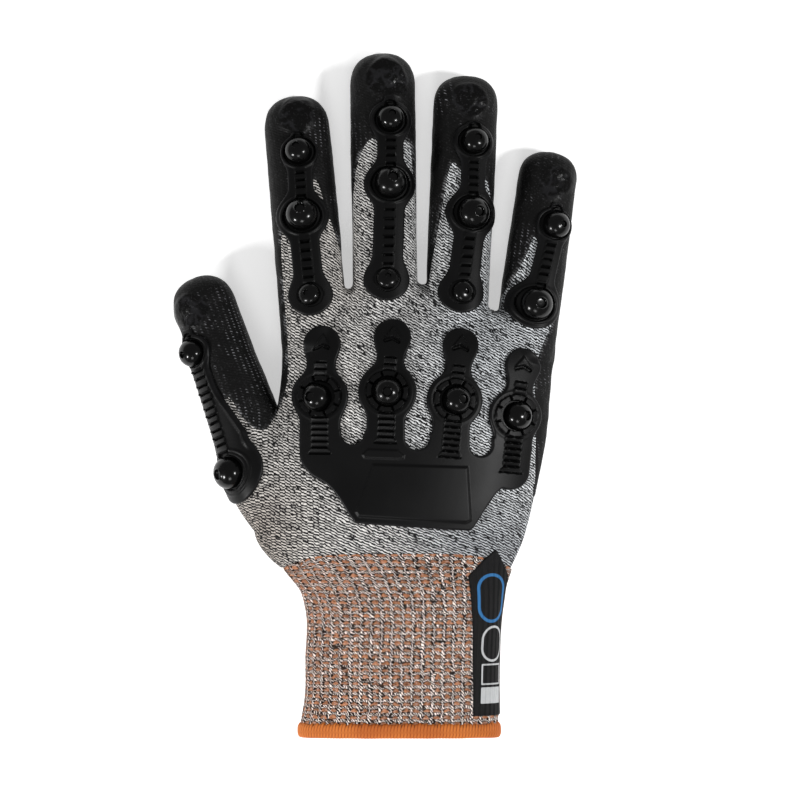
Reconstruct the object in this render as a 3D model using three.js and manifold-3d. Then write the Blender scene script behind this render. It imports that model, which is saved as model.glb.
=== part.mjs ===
// Impact-resistant coated work glove for the right hand, in millimetres, +Z up.
// It lies palm down as if filled by a hand: fingers point to +Y, the thumb to -X, the back of the hand to +Z.
// The knitted hand and cuff are hollow. A dipped coating wraps the palm and the fingertips, and moulded
// guards with domes and bars sit on the back of the hand, on each finger and on the thumb.
import * as THREE from "three";
import { mergeVertices } from "three/addons/utils/BufferGeometryUtils.js";
import Module from "manifold-3d";

const wasm = await Module();
wasm.setup();

// The layers of the glove, each measured outward from the coated surface.
const GAP = 0.3;
const COATING = 1.0;
const KNIT_WALL = 1.2;
const KNIT_OUTER = -(COATING + GAP);
const KNIT_INNER = KNIT_OUTER - KNIT_WALL;
const GUARD_UNDERSIDE = -COATING;
const GUARD_TOP = 1.4;
const PANEL_RISE = 0.8;
const BAR_RISE = 0.9;

const HAND_END_Y = -60.5;
const CUFF_TOP_Y = HAND_END_Y - GAP;
const CUFF_END_Y = -121.0;
const HEM_TOP_Y = CUFF_END_Y - GAP;
const HEM_END_Y = -127.25;
const SIDE_SEAM_Z = 13; // the coating's edge where it runs along the glove's sides
const FAR = 300;
const PAST_END = 12; // how far a hollow's cutting shape runs past an open end

// The hand between the cuff and the finger roots: its left and right sides, its underside and its top.
const PALM_ROWS = [
  { y: HAND_END_Y, left: -39.0, right: 53.6, low: 0.6, high: 35.5 },
  { y: -47, left: -43.5, right: 58.6, low: -2.0, high: 37.2 },
  { y: -14, left: -37.5, right: 64.2, low: -2.3, high: 37.3 },
  { y: 4, left: -33.8, right: 65.4, low: -1.5, high: 35.5 },
  { y: 20, left: -33.2, right: 67.0, low: 0.5, high: 32.0 },
  { y: 38, left: -31.0, right: 67.0, low: 7.0, high: 24.0 },
];
const PALM_END = { x: 18, y: 41.5, z: 15 };
const PALM_SIDES = 20;
const BACK_POWER = 2.0; // the back of the hand is an ellipse
const FRONT_POWER = 2.8; // and the palm side is squarer
const CROWN_SHIFT = 8; // the back's highest line lies this far to the thumb's side
const WEB = { slope: 0.36, from_x: 20, from_y: 10 }; // the web falls back towards the little finger

// Each digit's centre line in plan with the length of its round cap. half is the half width, deep the half
// depth and z the centre's height, each at even steps from the root to where the cap starts.
const DIGITS = {
  thumb: {
    root: [-30.7, -55.6], tip: [-67.1, 43.5], cap: 12,
    half: [9, 15, 12.9, 11.8, 11.5], deep: [12, 14.2, 12.4, 11, 10], z: [15, 16, 14.6, 12.3, 9.4],
  },
  index: {
    root: [-21.3, 18], tip: [-30.0, 111.3], cap: 13,
    half: [12.9, 12.4, 12.0], deep: [11.6, 10.6, 9.2], z: [18.5, 14, 8.4],
  },
  middle: {
    root: [4.3, 18], tip: [2.8, 127.25], cap: 12,
    half: [12.6, 12.2, 11.9], deep: [11.8, 10.8, 9.3], z: [19, 14.5, 8.5],
  },
  ring: {
    root: [30.2, 18], tip: [34.4, 118.9], cap: 11,
    half: [11.8, 11.9, 11.8], deep: [11.4, 10.4, 9], z: [18, 14, 8.2],
  },
  little: {
    root: [55.0, 14], tip: [65.9, 90.4], cap: 10,
    half: [11.4, 11.2, 10.7], deep: [10.6, 9.6, 8.3], z: [15, 12, 7.5],
  },
};
const DIGIT_NAMES = Object.keys(DIGITS);
const DIGIT_POWER = 2.2;
const DIGIT_SIDES = 10;
const CAP_STATIONS = [36, 66]; // degrees round the cap
const CAP_POWER = 0.85; // under 1 makes the caps squarer than ellipses

// Where each digit's knit and coating join the hand's, from its root, and half the width of the join.
const STALLS = {
  thumb: { start: 49.5, half: 12.5 },
  index: { start: 25.5, half: 13.5 },
  middle: { start: 25, half: 13.5 },
  ring: { start: 25, half: 13.5 },
  little: { start: 20.5, half: 13.5 },
};

// The cuff, from where it meets the hand down to the hem, and the hem rolled round its end.
const CUFF_ROWS = [
  { y: CUFF_TOP_Y, middle: 7.3, half: 45.0, low: 1.9, high: 34.2, shift: 8 },
  { y: -67.5, middle: 9.4, half: 40.2, low: 2.4, high: 34.6, shift: 5 },
  { y: -79, middle: 10.8, half: 36.0, low: 2.6, high: 35.0, shift: 1 },
  { y: CUFF_END_Y, middle: 9.6, half: 35.4, low: 1.6, high: 33.4, shift: 0 },
];
const CUFF_RIBS = 32;
const CUFF_RIB_RISE = 0.5;
const CUFF_WALL = 1.8;
const HEM_ROWS = [
  { y: HEM_TOP_Y, grow: 0.2 },
  { y: -122.6, grow: 1.5 },
  { y: -125.8, grow: 1.5 },
  { y: HEM_END_Y, grow: 0.3 },
];
const HEM_ROW = { middle: 8.9, half: 36.4, low: 1.5, high: 33.6, shift: 0 };
const HEM_WALL = 2.4;

// The open back of the coating, seen from above: knit shows inside this outline. It runs from the wrist on
// the thumb's side round each digit and comes back down the little finger's side.
const KNIT_WINDOW = {
  wrist: [[-90, -61], [-66, -31]],
  thumb: [[-66, -10], [-58, -3], [-55, 1.5], [-52.6, 0.3], [-49, -7.3], [-44.4, -12.2], [-35.3, -5.2]],
  index: [[-32, 8], [-33.4, 37], [-34.6, 56], [-31.1, 74.8], [-21.8, 79.7], [-18.4, 70.9], [-12.6, 53]],
  middle: [[-9.9, 41.2], [-8.3, 68], [-5.2, 89.1], [-0.7, 95.3], [5.8, 92], [12.6, 94.1], [16.5, 66]],
  ring: [[18.9, 44.2], [22.3, 60.7], [26.8, 82], [29.6, 86.3], [35.4, 79], [41, 80.6], [43.6, 60]],
  little: [[43.4, 31], [51.6, 45.1], [59, 58.8], [61.8, 49.3], [63.5, 33], [65.5, 25.6], [60.6, 13.5]],
  side: [[59.4, 4], [59.7, -30], [61.5, -41], [90, -48]],
  open_end: [[90, -90], [-90, -90]],
};
// The coating's lower edge seen from the side, as y and z: it drops towards the heel of the hand.
const HEEL_EDGE = [[-90, -20], [-57, -20], [-55, 4], [-36, SIDE_SEAM_Z], [-36, FAR], [-90, FAR]];

// Each digit's guard lies along its back. lean turns it about the digit, to the thumb's side. Pads are its
// round stretches from the tip to the root: side moves a pad to the thumb's side, neck is the half width
// after it, and start is the blunt tab under the fingertip's coating.
const DIGIT_GUARDS = {
  thumb: {
    lean: 47,
    start: { at: 17.5, half: 2.4 },
    pads: [
      { at: 26.6, side: 1.2, radius: 6.6, neck: 6.6, dome: "small" },
      { at: 73.4, side: -0.4, radius: 11.6, dome: "large" },
    ],
  },
  index: {
    lean: 3,
    start: { at: 14.6, half: 2.2 },
    pads: [
      { at: 22.4, side: -0.5, radius: 6.5, neck: 4.4, dome: "small" },
      { at: 46.5, side: 0.4, radius: 9.1, neck: 5.1, dome: "large" },
      { at: 76.3, side: 0, radius: 7.7, dome: "low" },
    ],
  },
  middle: {
    lean: -8,
    start: { at: 16.8, half: 1.9 },
    pads: [
      { at: 26.3, side: -1.5, radius: 7.4, neck: 4.6, dome: "small" },
      { at: 50.4, side: -0.9, radius: 8.9, neck: 5.3, dome: "large" },
      { at: 86.2, side: 0.8, radius: 7.8, dome: "low" },
    ],
  },
  ring: {
    lean: -14,
    start: { at: 18.3, half: 1.9 },
    pads: [
      { at: 25.9, side: -1.3, radius: 7.1, neck: 4.3, dome: "small" },
      { at: 52.6, side: -1.3, radius: 9.0, neck: 5.3, dome: "large" },
      { at: 82.4, side: 1.3, radius: 7.7, dome: "low" },
    ],
  },
  little: {
    lean: -20,
    start: { at: 19.5, half: 1.9 },
    pads: [
      { at: 27.9, side: -1.8, radius: 6.3, neck: 4.4, dome: "small" },
      { at: 58.3, side: 1.6, radius: 8.9, dome: "large" },
    ],
  },
};
const PAD_STOPS = [-0.85, -0.5, 0, 0.5, 0.85]; // where a pad's outline is taken, in radii from its middle
const END_ARC = [30, 60, 90, 120, 150]; // degrees round a guard's round end
const MIN_OUTLINE_STEP = 0.6;
const BACK_HALF_FROM = 4; // a digit's guard lies further out than this from its centre line
const BAR = { across: 4.0, pitch: 3.5 };
const BAR_CLEARANCE = 0.8; // between a dome's collar and the nearest bar
const BAR_FOOT = 0.15; // a bar's low edge above the guard
const BAR_SLOT = 0.1;
const LADDER_ROOT = 1.2; // how deep a ladder is moulded into the guard

// The knuckle guard's four lobes in plan. Each has a round end, a knuckle pad with a dome, and a leg down to
// the plate. lean tips the dome to the thumb's side.
const LOBES = [
  {
    end: [-19.1, 18.6], knuckle: [-19.7, -0.7], foot: [-19.7, -20],
    end_radius: 6.7, neck: 5.2, radius: 10.2, leg: 7.3, lean: 16,
  },
  {
    end: [6.7, 20.9], knuckle: [4.9, 1.0], foot: [3.9, -22],
    end_radius: 6.8, neck: 5.1, radius: 10.7, leg: 7.2, lean: 2,
  },
  {
    end: [31.7, 17.9], knuckle: [29.4, -2.0], foot: [27.2, -24],
    end_radius: 6.5, neck: 4.9, radius: 10.2, leg: 7.2, lean: -14,
  },
  {
    end: [54.6, 10.8], knuckle: [51.6, -7.7], foot: [49.6, -26],
    end_radius: 6.3, neck: 4.8, radius: 9.5, leg: 7.1, lean: -24,
  },
];
const LEG_BAR = { across: 6.2, pitch: 2.4 };
const LEG_BARS_FROM = 1.5; // from a leg's foot
const NECK_BAR = { across: 4.5, pitch: 2.4 };
const NECK_BARS_STOP = 4.5; // short of the round end's middle
const NOTCH_SIDES = 14;
// The plate that joins the lobes, its round notches between the legs, and the raised bare panel on it.
const PLATE = [
  [56.8, -24.6], [55.2, -27], [52.9, -31.3], [49.5, -33], [46.6, -34.4], [44.2, -36.8], [40.5, -42.2],
  [36.9, -48.1], [34.8, -49.7], [32, -49.8], [9.5, -48.3], [-5, -47.2], [-7.9, -45.9], [-9.6, -43.4],
  [-12.4, -38.8], [-15.6, -34.6], [-20.4, -31.2], [-23.8, -28.8], [-26.1, -24.4], [-27, -16.2],
];
const NOTCHES = [
  { x: -7.8, y: -14.0, radius: 4.3 },
  { x: 15.8, y: -15.7, radius: 4.6 },
  { x: 39.0, y: -18.5, radius: 4.1 },
];
const PANEL = [[-0.4, -25.6], [-6.6, -42.9], [-5.8, -44.4], [33.6, -46.7], [35, -45.6], [33.9, -26.8]];

// Domes: radius, rise above the guard, the dimple in the crown, and the collar round the foot.
const DOMES = {
  small: { radius: 4.6, rise: 4.4, dimple: 1.5, collar: 5.6, collar_rise: 0.8 },
  large: { radius: 5.9, rise: 5.0, dimple: 1.9, collar: 7.3, collar_rise: 0.9 },
  knuckle: { radius: 5.2, rise: 4.8, dimple: 1.8, collar: 7.4, collar_rise: 0.8 },
  low: { radius: 2.8, rise: 2.2, dimple: 1.1, collar: 4.6, collar_rise: 0.5 },
};
const DOME_SIDES = 8;
const DOME_ROOT = 3.0; // how deep a dome's foot is moulded into the guard
const DOME_SHOULDER = { height: 0.62, radius: 0.86 }; // as shares of the dome's own height and radius
const DIMPLE_DEPTH = 0.7;

// A woven label sewn on the cuff's little-finger side. Its outline is seen along the direction that it faces,
// as the distance across it and y, and turn is that direction's angle from straight up.
const LABEL = {
  turn: 57,
  thick: 0.8,
  from: 28,
  outline: [[-4.2, -118.7], [11.9, -118.7], [9.5, -66.8], [1.2, -57.1], [-6.6, -66.8]],
  top_row: { y: -55, middle: 6.2, half: 48.3, low: 0.9, high: 34.7, shift: 8 },
};

const COLOURS = {
  knit: { color: 0x9c9c9c, roughness: 0.95 },
  cuff: { color: 0xb98a6c, roughness: 0.95 },
  hem: { color: 0xd9761c, roughness: 0.9 },
  coating: { color: 0x141414, roughness: 0.6 },
  guard: { color: 0x2a2a2d, roughness: 0.5 },
  label: { color: 0x151515, roughness: 0.85 },
};

const MERGE_DISTANCE = 1e-4; // corners closer than this are one
const SIDEWAYS = new THREE.Matrix4().makeBasis(
  new THREE.Vector3(0, 1, 0),
  new THREE.Vector3(0, 0, 1),
  new THREE.Vector3(1, 0, 0),
); // axes that look along +X, with +Y across and +Z up

const radians = THREE.MathUtils.degToRad;
const UP = new THREE.Vector3(0, 0, 1);
const union = (solids) => solids.reduce((all, one) => all.add(one));

// A solid from a closed three.js geometry.
function solid(geometry) {
  const bare = geometry.clone();
  bare.deleteAttribute("normal");
  bare.deleteAttribute("uv");
  const merged = mergeVertices(bare, MERGE_DISTANCE);
  const corners = merged.index.array;
  const faces = [];
  for (let i = 0; i < corners.length; i += 3) {
    const [a, b, c] = corners.slice(i, i + 3);
    if (a !== b && b !== c && c !== a) faces.push(a, b, c);
  }
  const made = new wasm.Manifold(
    new wasm.Mesh({
      numProp: 3,
      vertProperties: new Float32Array(merged.attributes.position.array),
      triVerts: new Uint32Array(faces),
    }),
  );
  if (made.volume() <= 0) throw new Error("a solid faces inwards");
  return made;
}

// A three.js geometry with flat faces from a solid.
function geometryOf(made) {
  const { vertProperties, triVerts, numProp } = made.getMesh();
  const positions = [];
  for (const corner of triVerts)
    for (let axis = 0; axis < 3; axis++) positions.push(vertProperties[corner * numProp + axis]);
  const geometry = new THREE.BufferGeometry();
  geometry.setAttribute("position", new THREE.Float32BufferAttribute(positions, 3));
  geometry.computeVertexNormals();
  return geometry;
}

// A solid skinned over rings of points, each end closed round a point of its own.
function loft(rings, firstPole, lastPole) {
  const sides = rings[0].length;
  const points = [firstPole, ...rings.flat(), lastPole];
  const faces = [];
  const last = 1 + (rings.length - 1) * sides;
  for (let j = 0; j < sides; j++) {
    const k = (j + 1) % sides;
    faces.push(0, 1 + j, 1 + k);
    for (let here = 1; here < last; here += sides) {
      const next = here + sides;
      faces.push(here + j, next + k, here + k, here + j, next + j, next + k);
    }
    faces.push(last + k, last + j, points.length - 1);
  }
  const geometry = new THREE.BufferGeometry().setFromPoints(points.map((p) => new THREE.Vector3(...p)));
  geometry.setIndex(faces);
  return solid(geometry);
}

// A prism of an outline between two heights, in the axes that a matrix gives.
function prism(outline, low, high, axes = new THREE.Matrix4()) {
  const shape = new THREE.Shape(outline.map(([x, y]) => new THREE.Vector2(x, y)));
  const geometry = new THREE.ExtrudeGeometry(shape, { depth: high - low, bevelEnabled: false });
  return solid(geometry.translate(0, 0, low).applyMatrix4(axes));
}

function box(low, high, axes = new THREE.Matrix4()) {
  const size = high.map((value, axis) => value - low[axis]);
  const middle = high.map((value, axis) => (value + low[axis]) / 2);
  return solid(new THREE.BoxGeometry(...size).translate(...middle).applyMatrix4(axes));
}

// The point at an angle on a superellipse.
function superPoint(angle, half, deep, power) {
  const [c, s] = [Math.cos(angle), Math.sin(angle)];
  const reach = (value, radius) => Math.sign(value) * radius * Math.abs(value) ** (2 / power);
  return [reach(c, half), reach(s, deep)];
}

// The section shared by the hand and the cuff: an elliptical back, a squarer front and a crown moved aside.
function handSection(sides, { middle, half, low, high, shift }, offset) {
  const [wide, deep, z] = [half + offset, (high - low) / 2 + offset, (high + low) / 2];
  return Array.from({ length: sides }, (_, j) => {
    const angle = (2 * Math.PI * j) / sides;
    const power = Math.sin(angle) > 0 ? BACK_POWER : FRONT_POWER;
    const [across, up] = superPoint(angle, wide, deep, power);
    return [middle + across - shift * Math.max(0, up / deep), z + up];
  });
}

// The palm at an offset from the coated surface, starting at a given y.
function palm(offset, from) {
  const rows = from < HAND_END_Y ? [{ ...PALM_ROWS[0], y: from }, ...PALM_ROWS] : PALM_ROWS;
  const rings = rows.map(({ y, left, right, low, high }) => {
    const section = { middle: (left + right) / 2, half: (right - left) / 2, low, high, shift: CROWN_SHIFT };
    const share = THREE.MathUtils.clamp((y - WEB.from_y) / (PALM_END.y - WEB.from_y), 0, 1);
    return handSection(PALM_SIDES, section, offset).map(([x, z]) => {
      const fall = Math.max(0, x - WEB.from_x) * WEB.slope;
      return [x, y + (offset - fall) * share, z];
    });
  });
  const { left, right, low, high } = PALM_ROWS[0];
  const wrist = [(left + right) / 2, from, (low + high) / 2];
  return loft(rings, wrist, [PALM_END.x, PALM_END.y + offset, PALM_END.z]);
}

// A digit's axes: +X across it, +Y along its centre line in plan from its root, +Z up.
function digitPlan(name) {
  const { root, tip } = DIGITS[name];
  const along = new THREE.Vector3(tip[0] - root[0], tip[1] - root[1], 0).normalize();
  const across = new THREE.Vector3().crossVectors(along, UP);
  return new THREE.Matrix4().makeBasis(across, along, UP).setPosition(root[0], root[1], 0);
}

const digitLength = ({ root, tip }) => Math.hypot(tip[0] - root[0], tip[1] - root[1]);

function digit(name, offset) {
  const { half, deep, z, cap } = DIGITS[name];
  const plan = digitPlan(name);
  const body = digitLength(DIGITS[name]) - cap;
  const last = half.length - 1;
  const place = (...point) => new THREE.Vector3(...point).applyMatrix4(plan).toArray();
  const ringAt = (station, along, size) =>
    Array.from({ length: DIGIT_SIDES }, (_, j) => {
      const [wide, thick] = [(half[station] + offset) * size, (deep[station] + offset) * size];
      const [across, up] = superPoint((2 * Math.PI * j) / DIGIT_SIDES, wide, thick, DIGIT_POWER);
      return place(across, along, z[station] + up);
    });
  const capRing = (degrees) => {
    const turn = radians(degrees);
    return ringAt(last, body + (cap + offset) * Math.sin(turn) ** CAP_POWER, Math.cos(turn) ** CAP_POWER);
  };
  const rings = half.map((_, station) => ringAt(station, (body * station) / last, 1));
  rings.push(...CAP_STATIONS.map(capRing));
  return loft(rings, place(0, 0, z[0]), place(0, body + cap + offset, z[last]));
}

// The whole hand at an offset from the coated surface, cut flat where it rests.
function hand(offset, from = HAND_END_Y) {
  const rested = box([-FAR, -FAR, -offset], [FAR, FAR, FAR]);
  return union([palm(offset, from), ...DIGIT_NAMES.map((name) => digit(name, offset))]).intersect(rested);
}

// The space past a digit's join with the hand.
function pastJoin(name, gap) {
  const { start, half } = STALLS[name];
  return box([-half, start - gap, -FAR], [half, FAR / 2, FAR], digitPlan(name));
}

// A layer of the hand as the hand's own piece and one piece for each digit, a gap apart.
function splitLayer(layer) {
  const pieces = { hand: layer.subtract(union(DIGIT_NAMES.map((name) => pastJoin(name, GAP)))) };
  for (const name of DIGIT_NAMES) pieces[name] = layer.intersect(pastJoin(name, 0));
  return pieces;
}

const knit = () => hand(KNIT_OUTER).subtract(hand(KNIT_INNER, HAND_END_Y - PAST_END));

// The cuff's or hem's surface: rows of the hand's section, with ribs if they rise at all.
function sleeve(rows, sides, rise = 0) {
  const rings = rows.map(({ y, grow = 0, ...section }) => {
    const [crests, valleys] = [handSection(sides, section, grow), handSection(sides, section, grow - rise)];
    return crests.map((crest, j) => {
      const [x, z] = j % 2 === 0 ? crest : valleys[j];
      return [x, y, z];
    });
  });
  const pole = ({ y, middle, low, high }) => [middle, y, (low + high) / 2];
  return loft(rings.toReversed(), pole(rows.at(-1)), pole(rows[0]));
}

const grown = (rows, grow) => rows.map((row) => ({ ...row, grow }));

// A sleeve's rows with the first and last repeated past its open ends, for the space inside it.
function runThrough(rows) {
  const [first, last] = [rows[0], rows.at(-1)];
  return [{ ...first, y: first.y + PAST_END }, ...rows, { ...last, y: last.y - PAST_END }];
}

function cuff() {
  const hollow = sleeve(runThrough(grown(CUFF_ROWS, -CUFF_WALL)), PALM_SIDES);
  return sleeve(CUFF_ROWS, 2 * CUFF_RIBS, CUFF_RIB_RISE).subtract(hollow);
}

function hem() {
  const rows = HEM_ROWS.map((row) => ({ ...HEM_ROW, ...row }));
  const hollow = runThrough([rows[0], rows.at(-1)]);
  return sleeve(rows, PALM_SIDES).subtract(sleeve(grown(hollow, -HEM_WALL), PALM_SIDES));
}

function label() {
  const rows = [LABEL.top_row, ...CUFF_ROWS];
  const under = sleeve(runThrough(grown(rows, GAP)), 2 * CUFF_RIBS);
  const layer = sleeve(grown(rows, GAP + LABEL.thick), 2 * CUFF_RIBS).subtract(under);
  const facing = new THREE.Matrix4().makeRotationY(radians(LABEL.turn));
  return layer.intersect(prism(LABEL.outline, LABEL.from, FAR, facing));
}

// The surface that domes and bars stand on.
const guardTop = hand(GUARD_TOP);
const guardTopMesh = new THREE.Mesh(geometryOf(guardTop));
const guardBottom = hand(GUARD_UNDERSIDE, HAND_END_Y - PAST_END);

// A place on the guards' surface: the axes given, moved to where their +Z through a point meets it.
function onGuard(axes, x, y) {
  const facing = new THREE.Vector3().setFromMatrixColumn(axes, 2);
  const start = new THREE.Vector3(x, y, FAR / 2).applyMatrix4(axes);
  const [hit] = new THREE.Raycaster(start, facing.negate()).intersectObject(guardTopMesh);
  return axes.clone().setPosition(hit.point);
}

function dome(kind, axes) {
  const { radius, rise, dimple, collar, collar_rise } = DOMES[kind];
  const shoulder = collar_rise + DOME_SHOULDER.height * (rise - collar_rise);
  const profile = [
    [0, -DOME_ROOT], [collar, -DOME_ROOT], [collar, collar_rise], [radius, collar_rise],
    [DOME_SHOULDER.radius * radius, shoulder], [dimple, rise], [0, rise - DIMPLE_DEPTH],
  ];
  const points = profile.map(([x, y]) => new THREE.Vector2(x, y));
  return solid(new THREE.LatheGeometry(points, DOME_SIDES).rotateX(Math.PI / 2).applyMatrix4(axes));
}

// The outline of a strip of pads, as across and along, from its blunt start to its round end. A pad widens
// the strip round its own place, and the last one ends it in an arc. grow moves the outline outward.
function stripOutline({ start, pads }, grow) {
  const last = pads.at(-1);
  const stopsOf = (pad) => {
    const stops = PAD_STOPS.filter((stop) => pad !== last || stop <= 0);
    return stops.map((stop) => pad.at + stop * pad.radius);
  };
  const sideAt = (at) => {
    const i = THREE.MathUtils.clamp(pads.findIndex((pad) => pad.at > at), 0, pads.length - 1);
    const before = pads[Math.max(i - 1, 0)];
    const part = THREE.MathUtils.clamp((at - before.at) / (pads[i].at - before.at || 1), 0, 1);
    return THREE.MathUtils.lerp(before.side, pads[i].side, part);
  };
  const halfAt = (at) => {
    const passed = pads.findLast((pad) => pad !== last && pad.at <= at);
    const base = passed ? passed.neck : start.half;
    const round = (pad) => Math.sqrt(Math.max(0, pad.radius ** 2 - (at - pad.at) ** 2));
    return Math.max(base, ...pads.map(round)) + grow;
  };
  const places = [start.at, ...pads.flatMap(stopsOf)].filter((at) => at >= start.at).sort((a, b) => a - b);
  const spaced = places.filter((at, i) => i === 0 || at - places[i - 1] > MIN_OUTLINE_STEP);
  const edge = (way) => spaced.map((at, i) => [sideAt(at) + way * halfAt(at), at - (i === 0 ? grow : 0)]);
  const arc = END_ARC.map((degrees) => {
    const [c, s] = [Math.cos(radians(degrees)), Math.sin(radians(degrees))];
    return [sideAt(last.at) + (last.radius + grow) * c, last.at + (last.radius + grow) * s];
  });
  return [...edge(1), ...arc, ...edge(-1).reverse()];
}

// A strip's axes: +Y along it from its start, +Z out through it, leaning to one side.
function stripAxes(start, end, lean) {
  const along = end.clone().sub(start).normalize();
  const across = new THREE.Vector3().crossVectors(along, UP).normalize();
  const out = new THREE.Vector3().crossVectors(across, along);
  const axes = new THREE.Matrix4().makeBasis(across, along, out).setPosition(start);
  return axes.multiply(new THREE.Matrix4().makeRotationY(radians(lean)));
}

function digitGuardAxes(name) {
  const { root, tip, z } = DIGITS[name];
  const [start, end] = [new THREE.Vector3(...tip, z.at(-1)), new THREE.Vector3(...root, z[0])];
  return stripAxes(start, end, DIGIT_GUARDS[name].lean);
}

// A ladder of sloping bars along a strip between two places, as many as fit, like overlapping scales.
function ladder({ across, pitch }, axes, from, to, side) {
  const count = Math.floor((to - from) / pitch);
  const first = (from + to - count * pitch) / 2;
  const toStrip = axes.clone().invert();
  const heightAt = (at) => {
    const place = new THREE.Vector3().setFromMatrixPosition(onGuard(axes, side, at));
    return place.applyMatrix4(toStrip).z;
  };
  const stops = Array.from({ length: count + 1 }, (_, i) => first + i * pitch);
  const teeth = stops.slice(1).flatMap((stop, i) => [
    [stops[i], heightAt(stops[i]) + BAR_RISE],
    [stop - BAR_SLOT, heightAt(stop) + BAR_FOOT],
  ]);
  const root = [stops[count] - BAR_SLOT, stops[0]].map((stop) => [stop, heightAt(stop) - LADDER_ROOT]);
  return prism([...teeth, ...root], side - across / 2, side + across / 2, axes.clone().multiply(SIDEWAYS));
}

function digitGuardFootprint(name, grow) {
  return prism(stripOutline(DIGIT_GUARDS[name], grow), BACK_HALF_FROM, FAR, digitGuardAxes(name));
}

function digitGuard(name) {
  const axes = digitGuardAxes(name);
  const { pads } = DIGIT_GUARDS[name];
  const raised = pads.map((pad) => dome(pad.dome, onGuard(axes, pad.side, pad.at)));
  pads.slice(1).forEach((pad, i) => {
    const before = pads[i];
    const [from, to] = [before.at + DOMES[before.dome].collar, pad.at - DOMES[pad.dome].collar];
    const side = (before.side + pad.side) / 2;
    raised.push(ladder(BAR, axes, from + BAR_CLEARANCE, to - BAR_CLEARANCE, side));
  });
  const strip = guardTop.intersect(digitGuardFootprint(name, 0));
  return union([strip, ...raised]).subtract(guardBottom);
}

// A lobe as a strip in plan from its foot to its round end.
function lobeStrip({ foot, knuckle, end, radius, leg, neck, end_radius }) {
  const axes = stripAxes(new THREE.Vector3(...foot, 0), new THREE.Vector3(...end, 0), 0);
  const inStrip = ([x, y]) => new THREE.Vector3(x, y, 0).applyMatrix4(axes.clone().invert());
  const [knuckleAt, endAt] = [inStrip(knuckle), inStrip(end)];
  const pads = [
    { at: knuckleAt.y, side: knuckleAt.x, radius, neck },
    { at: endAt.y, side: 0, radius: end_radius },
  ];
  return { axes, start: { at: 0, half: leg }, pads };
}

function knuckleGuardFootprint(grow) {
  const strips = LOBES.map(lobeStrip);
  const lobes = strips.map((strip) => prism(stripOutline(strip, grow), SIDE_SEAM_Z, FAR, strip.axes));
  const middle = [0, 1].map((axis) => PLATE.reduce((sum, point) => sum + point[axis], 0) / PLATE.length);
  const outward = ([x, y]) => {
    const length = Math.hypot(x - middle[0], y - middle[1]);
    return [x + ((x - middle[0]) / length) * grow, y + ((y - middle[1]) / length) * grow];
  };
  const notches = NOTCHES.map(({ x, y, radius }) => {
    const round = new THREE.CylinderGeometry(radius - grow, radius - grow, FAR, NOTCH_SIDES);
    return solid(round.rotateX(Math.PI / 2).translate(x, y, 0));
  });
  return union([...lobes, prism(PLATE.map(outward), SIDE_SEAM_Z, FAR)]).subtract(union(notches));
}

function knuckleGuard() {
  const raised = [hand(GUARD_TOP + PANEL_RISE).intersect(prism(PANEL, SIDE_SEAM_Z, FAR))];
  for (const lobe of LOBES) {
    const { axes, pads } = lobeStrip(lobe);
    const [knuckle, end] = pads;
    const tilt = new THREE.Matrix4().makeRotationY(radians(-lobe.lean));
    raised.push(dome("knuckle", onGuard(axes, knuckle.side, knuckle.at).multiply(tilt)));
    const ring = DOMES.knuckle.collar + BAR_CLEARANCE;
    raised.push(ladder(LEG_BAR, axes, LEG_BARS_FROM, knuckle.at - ring, knuckle.side / 2));
    raised.push(ladder(NECK_BAR, axes, knuckle.at + ring, end.at - NECK_BARS_STOP, knuckle.side / 2));
  }
  const sheet = guardTop.intersect(knuckleGuardFootprint(0));
  return union([sheet, ...raised]).subtract(guardBottom);
}

// The dipped coating: it leaves the back of the hand open and stops round every guard.
function coating() {
  const openings = [
    prism(Object.values(KNIT_WINDOW).flat(), SIDE_SEAM_Z, FAR),
    prism(HEEL_EDGE, -FAR, FAR, SIDEWAYS),
    knuckleGuardFootprint(GAP),
    ...DIGIT_NAMES.map((name) => digitGuardFootprint(name, GAP)),
  ];
  return hand(0).subtract(hand(-COATING, HAND_END_Y - PAST_END)).subtract(union(openings));
}

const glove = new THREE.Group();

function addNode(name, made, look) {
  const mesh = new THREE.Mesh(geometryOf(made), new THREE.MeshStandardMaterial(COLOURS[look]));
  mesh.name = name;
  glove.add(mesh);
}

for (const [name, made] of Object.entries(splitLayer(knit()))) addNode(`knit_${name}`, made, "knit");
for (const [name, made] of Object.entries(splitLayer(coating()))) addNode(`coating_${name}`, made, "coating");
addNode("knit_cuff", cuff(), "cuff");
addNode("cuff_hem", hem(), "hem");
addNode("cuff_label", label(), "label");
addNode("knuckle_guard", knuckleGuard(), "guard");
for (const name of DIGIT_NAMES) addNode(`${name}_guard`, digitGuard(name), "guard");

export default glove;
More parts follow.
